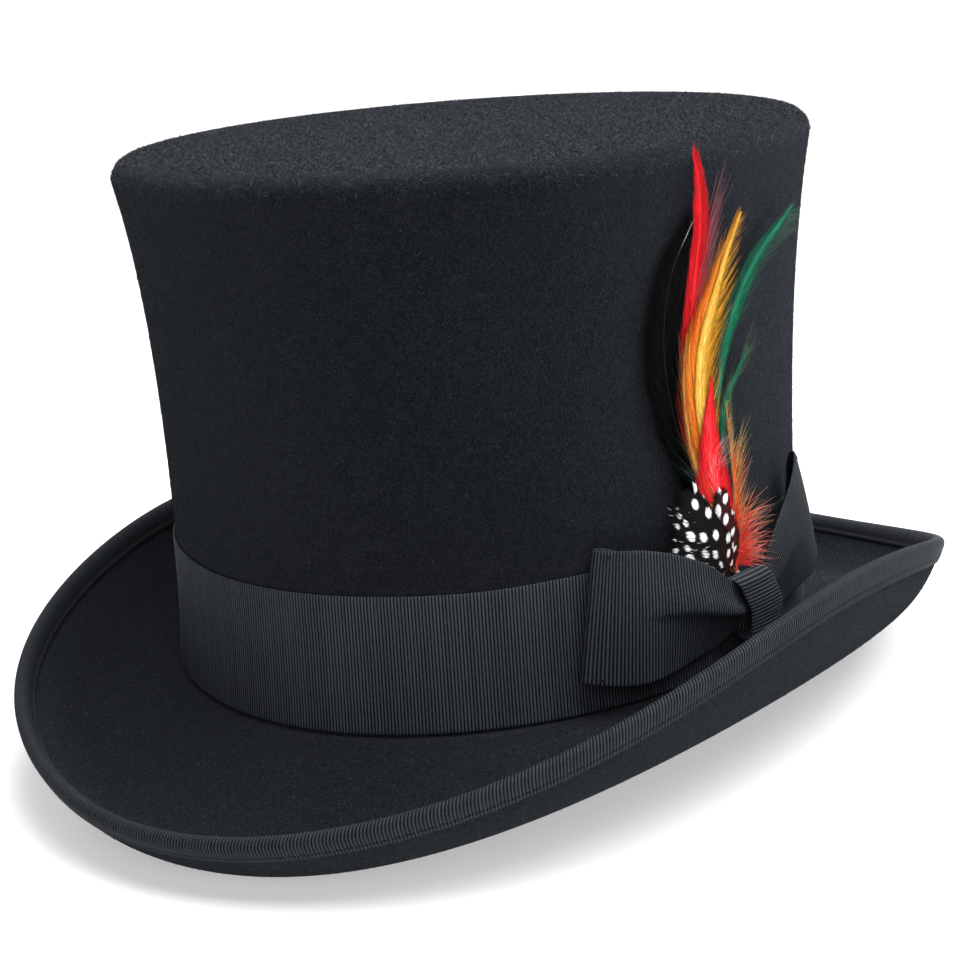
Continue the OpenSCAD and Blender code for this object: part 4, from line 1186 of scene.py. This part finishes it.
b = Barbs()
fr = vane(b, yellow_c, 141, [0.4, 0.8, 2.2, 4.0, 5.0, 5.6, 6.0, 6.0, 3.8, 2.2, 0.3], [0.4, 0.8, 1.6, 2.6, 3.4, 4.2, 4.2, 3.4, 2.4, 1.4, 0.3], 13, 0.4, yellow_rule, 0.24, 0.11, 0.34, clump=6.0, over=0.6)
vane(b, [[f, v, n - 0.3] for f, v, n in yellow_c], 147, [0.4, 0.8, 2.4, 4.4, 5.6, 6.4, 6.8, 6.6, 5.2, 3.6, 1.0], [0.1] * 11, 10, 0.3, ember_rule, 0.3, 0.3, 0.2, clump=2.0, over=2.0, spread=0.3, lift=0.5, rough=0.2)
vane(b, yellow_c, 144, [0.1] * 11, [0.4, 0.8, 1.6, 3.2, 5.2, 6.4, 6.8, 6.8, 6.6, 5.0, 1.6], 21, 0.2, yellow_rule, 0.4, 0.3, 0.2, clump=1.5, over=1.0, spread=0.3, lift=0.8, rough=0.16)
vane(b, [[f, v, n + 0.35] for f, v, n in yellow_c], 145, [0.5, 1.0, 1.5, 1.8, 1.9, 1.9, 1.8, 1.5, 1.1, 0.6, 0.2], [0.5, 1.0, 1.5, 1.8, 1.9, 1.9, 1.8, 1.5, 1.1, 0.6, 0.2], 5, 0.3, core_rule, 0.2, 0.1, 0.44, clump=6.0, over=0.4)
wisps(b, yellow_c, 143, 26, (0.5, 0.9), -0.8, (7, 12), (20, 34), shades([(0, lin(232, 170, 50)), (1, lin(150, 120, 56))], 0.2), width=0.11)
flat_shaft(b, fr, 0.34, 0.1, lin(255, 160, 60), lin(255, 220, 120))
b.make("feather_yellow_barbs", FEATHER["yellow"], "feather_yellow")

# short broad red feather with pale pink down
b = Barbs()
fr = vane(b, red2_c, 151, [1.6, 4.2, 6.2, 7.2, 6.4, 4.0, 2.0, 0.3], [1.6, 3.8, 5.2, 5.6, 4.6, 3.0, 1.6, 0.3], 14, 0.4,
          shades([(0, lin(255, 44, 52)), (0.6, lin(250, 26, 38)), (1, lin(234, 20, 34))], 0.14), 0.12, 0.09, 0.42, clump=6.0, over=1.0, spread=0.14)
wisps(b, red2_c, 153, 40, (0.4, 0.8), 0.0, (3, 7), (10, 50), shades([(0, lin(252, 70, 76)), (1, lin(250, 140, 140))], 0.1), 0.2, 0.08, 1.0, curl=40.0)
wisps(b, red2_c, 155, 26, (0.50, 0.62), -1.0, (6, 11), (30, 78), shades([(0, lin(250, 110, 114)), (0.4, lin(244, 160, 162)), (1, lin(226, 190, 190))], 0.12), 0.1, 0.1, 1.8, curl=30.0)
wisps(b, red2_c, 157, 46, (0.36, 0.56), 0.2, (4, 8), (3, 24), shades([(0, lin(252, 70, 76)), (0.5, lin(250, 128, 130)), (1, lin(248, 176, 176))], 0.12), 0.2, 0.22, 0.7, curl=14.0)
flat_shaft(b, fr, 0.3, 0.1, lin(250, 90, 80), lin(244, 50, 56))
b.make("feather_red_short_barbs", FEATHER["red"], "feather_red_short")


# olive hackle on the front side: loose strands of olive, orange and dark green
def olive_rule(x, r, side, rnd):
    kinds = np.array([lin(214, 182, 76), lin(236, 132, 44), lin(140, 134, 60), lin(64, 82, 52)])
    upper = np.array([lin(250, 146, 44), lin(244, 104, 36), lin(226, 158, 56), lin(110, 98, 50)])
    n = np.minimum((rnd * 4).astype(int), 3)
    high = step(0.4, 0.62, x)[:, None]
    base = (kinds[n] * (1 - high) + upper[n] * high)[:, None]
    return base * (1.0 - 0.3 * r)[None, :, None] * (0.75 + 0.5 * np.roll(rnd, 1))[:, None, None]


b = Barbs()
fr = vane(b, olive_c, 161, [0.6, 0.9, 1.2, 1.2, 1.0, 0.7, 0.3], [0.6, 0.9, 1.2, 1.3, 1.1, 0.7, 0.3], 7, 0.4, olive_rule, 0.1, 0.32, 0.17, clump=3.0, over=2.0, spread=0.3, rough=0.3)
wisps(b, olive_c, 163, 46, (0.2, 0.95), 0.8, (8, 16), (5, 16), shades([(0, lin(120, 108, 54)), (1, lin(54, 66, 50))], 0.3), width=0.1)
wisps(b, olive_c, 165, 20, (0.16, 0.42), 1.0, (9, 16), (20, 44), shades([(0, lin(22, 58, 52)), (1, lin(44, 74, 70))], 0.3), 0.3, 0.11, 0.8, curl=12.0)
flat_shaft(b, fr, 0.16, 0.05, lin(160, 140, 70), lin(150, 140, 80))
b.make("hackle_left_barbs", FEATHER["olive"], "hackle_left")


# fluffy hackle on the rear side: red low down and at the roots, orange then olive at the barbs' ends
def fluff_rule(x, r, side, rnd):
    q = over_r(x, r)
    red = blend_of([(0, lin(255, 38, 42)), (0.55, lin(250, 56, 54)), (1, lin(250, 172, 160))], q)
    org = blend_of([(0, lin(255, 58, 36)), (0.45, lin(255, 122, 46)), (0.75, lin(246, 164, 80)), (1, lin(196, 166, 108))], q)
    grn = blend_of([(0, lin(252, 100, 44)), (0.3, lin(244, 150, 62)), (0.65, lin(206, 190, 122)), (1, lin(150, 166, 132))], q)
    pick = 0.82 * rnd + 1.3 * (x - 0.30)
    k1, k2 = step(0.34, 0.48, pick)[:, None, None], step(0.62, 0.78, pick)[:, None, None]
    return ((red * (1 - k1) + org * k1) * (1 - k2) + grn * k2) * (0.6 + 0.7 * np.roll(rnd, 1))[:, None, None]


b = Barbs()
fr = vane(b, fluff_c, 171, [1.4, 2.2, 2.2, 1.6, 1.0, 0.4], [1.6, 2.8, 2.8, 2.0, 1.2, 0.4], 14, 0.15, fluff_rule, 0.05, 0.5, 0.24, clump=2.2, lift=1.4, jitter=0.3, over=3.0, spread=0.3, rough=0.3)
wisps(b, fluff_c, 173, 84, (0.05, 0.7), -0.85, (7, 15), (8, 38), fluff_rule, 0.35, 0.2, 2.6, curl=18.0)
wisps(b, fluff_c, 175, 96, (0.02, 0.30), -1.0, (6, 13.5), (24, 95), fluff_rule, 0.15, 0.22, 5.5, curl=26.0)
wisps(b, fluff_c, 179, 80, (0.0, 0.12), -0.8, (4, 12), (55, 122), fluff_rule, 0.05, 0.2, 6.5, curl=34.0)
wisps(b, fluff_c, 177, 40, (0.45, 0.95), -0.2, (6, 14), (3, 14), fluff_rule, 0.2, 0.1, 1.0, curl=10.0)
flat_shaft(b, fr, 0.22, 0.07, lin(236, 80, 50), lin(206, 120, 66))
b.make("hackle_right_barbs", FEATHER["fluff"], "hackle_right")

# two spotted feathers, dark with white drops that fan out from the base: mm towards the front and up from it
SPOTS = [(10.5, 28), (6.5, 26), (0, 25.5), (10, 23), (5.5, 19.5), (1, 18.5), (-2, 21.5), (-5.5, 17.5), (12, 14.5), (7.5, 13), (3, 12.5), (-2, 15.5), (-4.5, 11), (-1.5, 10.5),
         (13, 8.5), (7, 8), (3.5, 7), (9.5, 5.5), (-3.5, 8), (13.5, 5), (5.5, 3.5), (1.5, 3.5), (-1.5, 6), (15.5, 21), (16.5, 18.5), (18, 15), (17.5, 12), (13.5, 11.5), (13.5, 18.5), (-5, 6), (-3, 3), (3.5, 1.5)]


def spotted_feather(name, node, ctrl, seed, left, right, ground, n_wisps):
    b = Barbs()
    b.power = 5.0
    g = np.random.default_rng(seed)
    p, t, o, s, length = spine_frame(ctrl, 400)
    k = 26

    def rule(c, r):
        """Dark ground, browner to the rear, with the drops where the strands pass them."""
        f = np.degrees(np.arctan2(c[..., 0] / (B + 7), -c[..., 1] / (A + 7)))
        ex, ey = (80.4 - f) * 1.76, c[..., 2] - Z0 - 30.7
        white = np.zeros(ex.shape)
        h = np.random.default_rng(7)
        shift = g.normal(0, 0.22, len(c))[:, None]
        for cx, cy in SPOTS:
            d = math.hypot(cx, cy)
            sa, ca = cx / d, cy / d
            small = h.uniform(0.86, 1.08) * (0.6 if cx > 13 else 0.8 if cx < -3 else 1.0)
            dx, dy = ex - cx, ey - cy
            away, over_ = dx * sa + dy * ca + shift, dx * ca - dy * sa
            wide = np.interp(d, [3, 9, 14, 31], [0.5, 0.78, 1.12, 1.15]) * small
            tall = np.interp(d, [3, 9, 14, 31], [1.0, 1.3, 1.65, 1.85]) * small
            white = np.maximum(white, step(1.12, 0.92, np.hypot(over_ / wide, away / tall)))
        m = len(c)
        rnd = g.uniform(0.7, 1.3, m)[:, None, None]
        brown = step(4.0, -3.0, ex)[..., None]
        dark = (ground[0] * (1 - brown) + ground[1] * brown) * rnd
        root = (step(9.0, 4.0, np.hypot(ex, ey)) * step(3.0, -2.0, ex))[..., None]
        pale = lin(250, 250, 248) * (1 - 0.45 * root) + lin(226, 150, 140) * 0.45 * root
        return dark * (1 - white[..., None]) + pale * white[..., None] * g.uniform(0.92, 1.05, m)[:, None, None]

    for sign, prof in ((1, left), (-1, right)):
        m = int(length * 0.97 / 0.085)
        x = np.clip(0.01 + 0.97 * (np.arange(m) + g.uniform(0, 0.8, m)) / m, 0, 1)
        drift = g.uniform(-1, 1, 60)[np.floor(x * length / 2.4 + g.uniform()).astype(int)]
        a = np.interp(x, [0, 0.5, 1], [66, 46, 22] if sign > 0 else [40, 32, 18]) * (1 + 0.05 * drift + 0.025 * g.normal(size=m))
        ease = 0.3
        ln = np.interp(x, np.linspace(0, 1, len(prof)), prof) * (1 + 0.07 * drift + 0.04 * g.normal(size=m))
        b.add(picker(p)(x), picker(t)(x), picker(o)(x), picker(s)(x), ln, sign * a, ease, -0.3 + 0.5 * g.uniform(0, 1, m), 0.34 * g.uniform(0.8, 1.15, m), np.full(m, 0.08), rule, k)

    def dashes(x, r, sd, rnd):
        on = np.sin(r[None] * 15 + rnd[:, None] * 9) > 0.62
        return np.where(on[..., None], lin(226, 225, 222), lin(18, 17, 18)) * (0.8 + 0.25 * rnd)[:, None, None]

    wisps(b, ctrl, seed + 3, n_wisps, (0.02, 0.8), 1.0, (11, 19), (38, 60), dashes, 0.3, 0.12, 0.7, 22, 12.0)
    q = np.linspace(0, 1, len(p[::5]))
    b.shaft(p[::5] - o[::5] * 0.1, 0.26 - 0.2 * q, blend_of([(0, lin(60, 44, 42)), (0.5, lin(30, 25, 25)), (1, lin(24, 22, 22))], q))
    return b.make(name, FEATHER["guinea"], node)


spotted_feather("spotted_right_barbs", "guinea_right", guinea_r_c, 181, [11.0, 10.5, 9.5, 8.0, 6.0, 2.5], [6.5, 7.0, 7.0, 6.0, 5.0, 2.0], (lin(16, 13, 14), lin(58, 15, 20)), 5)
spotted_feather("spotted_left_barbs", "guinea_left", guinea_l_c, 191, [19.5, 19.0, 16.5, 13.0, 9.0, 3.5], [8.0, 8.5, 8.5, 8.0, 7.0, 4.0], (lin(9, 9, 10), lin(34, 13, 16)), 12)

# quills and their thread wrap, behind the knot
ends = 8
lines, radii = [], []
k = np.linspace(0, 1, 9)
for q in range(ends):
    a = q * 2 * math.pi / 7
    rr = 0.0 if q == ends - 1 else 0.66
    lo_ = np.stack([rr * math.cos(a) * np.ones(9), rr * math.sin(a) * np.ones(9), (0.3 * (q % 3)) + k * (16.0 - 0.3 * (q % 3))], -1)
    lines.append(stem_at + lo_ @ stem.T)
    radii.append(0.33 * (0.75 + 0.25 * step(0, 0.25, k)))
co, faces = tubes(np.array(lines), np.array(radii), 8)
quill_m = Nodes("quill_horn")
grain = quill_m.noise(quill_m.place(), 700.0, 4.0, 0.6)
quill_m.link(quill_m.ramp(grain, [(0.3, (0.42, 0.34, 0.24)), (0.7, (0.68, 0.6, 0.47))]), quill_m.bsdf.inputs["Base Color"])
quill_m.link(quill_m.bump(grain, 0.2, 0.0001), quill_m.bsdf.inputs["Normal"])
quill_m.set(Roughness=0.4)
piece("plume_quill_shafts", co, faces, "plume_stem", quill_m.mat, ["plume_quills"])
turns = 19
a = np.linspace(0, 2 * math.pi * turns, turns * 24)
lo_ = np.stack([1.14 * np.cos(a), 1.14 * np.sin(a), 9.55 + 6.5 * a / a[-1]], -1)
co, faces = tubes((stem_at + lo_ @ stem.T)[None], np.full((1, len(a)), 0.16), 6)
piece("plume_thread_coil", co, faces, "plume_stem", THREAD_MAT, ["plume_wrap"])

# ---------------------------------------------------------------------------
# Stage, lights, camera
# ---------------------------------------------------------------------------
scene = bpy.context.scene
scene.view_settings.view_transform = "Standard"
floor_m = Nodes("pale_floor")
tone = floor_m.noise(floor_m.place(), 3.0, 2.0, 0.5)
floor_m.link(floor_m.ramp(tone, [(0.2, (0.58, 0.58, 0.58)), (0.8, (0.61, 0.61, 0.61))]), floor_m.bsdf.inputs["Base Color"])
floor_m.set(Roughness=0.9, Specular_IOR_Level=0.05, Emission_Color=(1.0, 1.0, 1.0, 1.0), Emission_Strength=0.42)
# a floor that sweeps up into a wall far behind
prof = [(-4.0, 0.0), (2.2, 0.0)] + [(2.2 + 0.8 * math.sin(a), 0.8 - 0.8 * math.cos(a)) for a in np.linspace(0.1, math.pi / 2, 14)] + [(3.0, 4.0)]
away = np.array([-0.6432, 0.7657])
side = np.array([0.7657, 0.6432])
pts, fcs = [], []
for d, z in prof:
    for w in (-5.0, 5.0):
        q = away * d + side * w
        pts.append((q[0], q[1], z))
for q in range(len(prof) - 1):
    fcs.append((2 * q, 2 * q + 1, 2 * q + 3, 2 * q + 2))
me = bpy.data.meshes.new("floor_sweep")
me.from_pydata(pts, [], fcs)
me.polygons.foreach_set("use_smooth", np.ones(len(fcs), bool))
me.materials.append(floor_m.mat)
floor = bpy.data.objects.new("floor_sweep", me)
scene.collection.objects.link(floor)

world = bpy.data.worlds.new("studio")
world.use_nodes = True
bg = world.node_tree.nodes["Background"]
bg.inputs["Color"].default_value = (1.0, 1.0, 1.0, 1.0)
bg.inputs["Strength"].default_value = 0.18
scene.world = world


def area_light(name, at, look, size, power, colour=(1, 1, 1)):
    data = bpy.data.lights.new(name, "AREA")
    data.shape = "RECTANGLE"
    data.size, data.size_y = size
    data.energy = power
    data.color = colour
    ob = bpy.data.objects.new(name, data)
    d = np.array(look, float) - np.array(at, float)
    d /= np.linalg.norm(d)
    up = np.array([0, 0, 1.0]) if abs(d[2]) < 0.95 else np.array([0, 1.0, 0])
    x = np.cross(d, up)
    x /= np.linalg.norm(x)
    y = np.cross(x, d)
    ob.matrix_world = Matrix(((x[0], y[0], -d[0], at[0]), (x[1], y[1], -d[1], at[1]), (x[2], y[2], -d[2], at[2]), (0, 0, 0, 1)))
    scene.collection.objects.link(ob)
    return ob


area_light("top_softbox", (0.50, 0.34, 1.6), (0, 0, 0.1), (1.7, 1.7), 80.0)
area_light("front_fill", (1.40, -1.25, 0.95), (0, 0, 0.1), (1.2, 1.2), 13.0)
area_light("left_strip", (-1.5, 0.4, 0.55), (0, 0, 0.12), (0.7, 1.0), 6.0)
area_light("right_strip", (1.5, 1.0, 0.9), (0, 0, 0.12), (0.9, 1.6), 5.0)
area_light("backdrop_wash", (-1.2, 1.4, 2.2), (-2.2, 2.6, 0.6), (2.0, 1.0), 60.0)

cam_data = bpy.data.cameras.new("camera")
cam_data.sensor_width = 36.0
cam_data.lens = 2000.288 / 960 * 36.0
cam_data.clip_start, cam_data.clip_end = 0.01, 50.0
cam = bpy.data.objects.new("camera", cam_data)
right = np.array([0.7751112652, 0.6286183567, -0.0635727000])
up = np.array([-0.1220560337, 0.2476985742, 0.9611179641])
forward = np.array([-0.6199232623, 0.7372139296, -0.2687206186])
place = np.array([0.385332, -0.461618, 0.208873 + Z0 * MM])
cam.matrix_world = Matrix([[right[q], up[q], -forward[q], place[q]] for q in range(3)] + [[0, 0, 0, 1]])
scene.collection.objects.link(cam)
scene.camera = cam
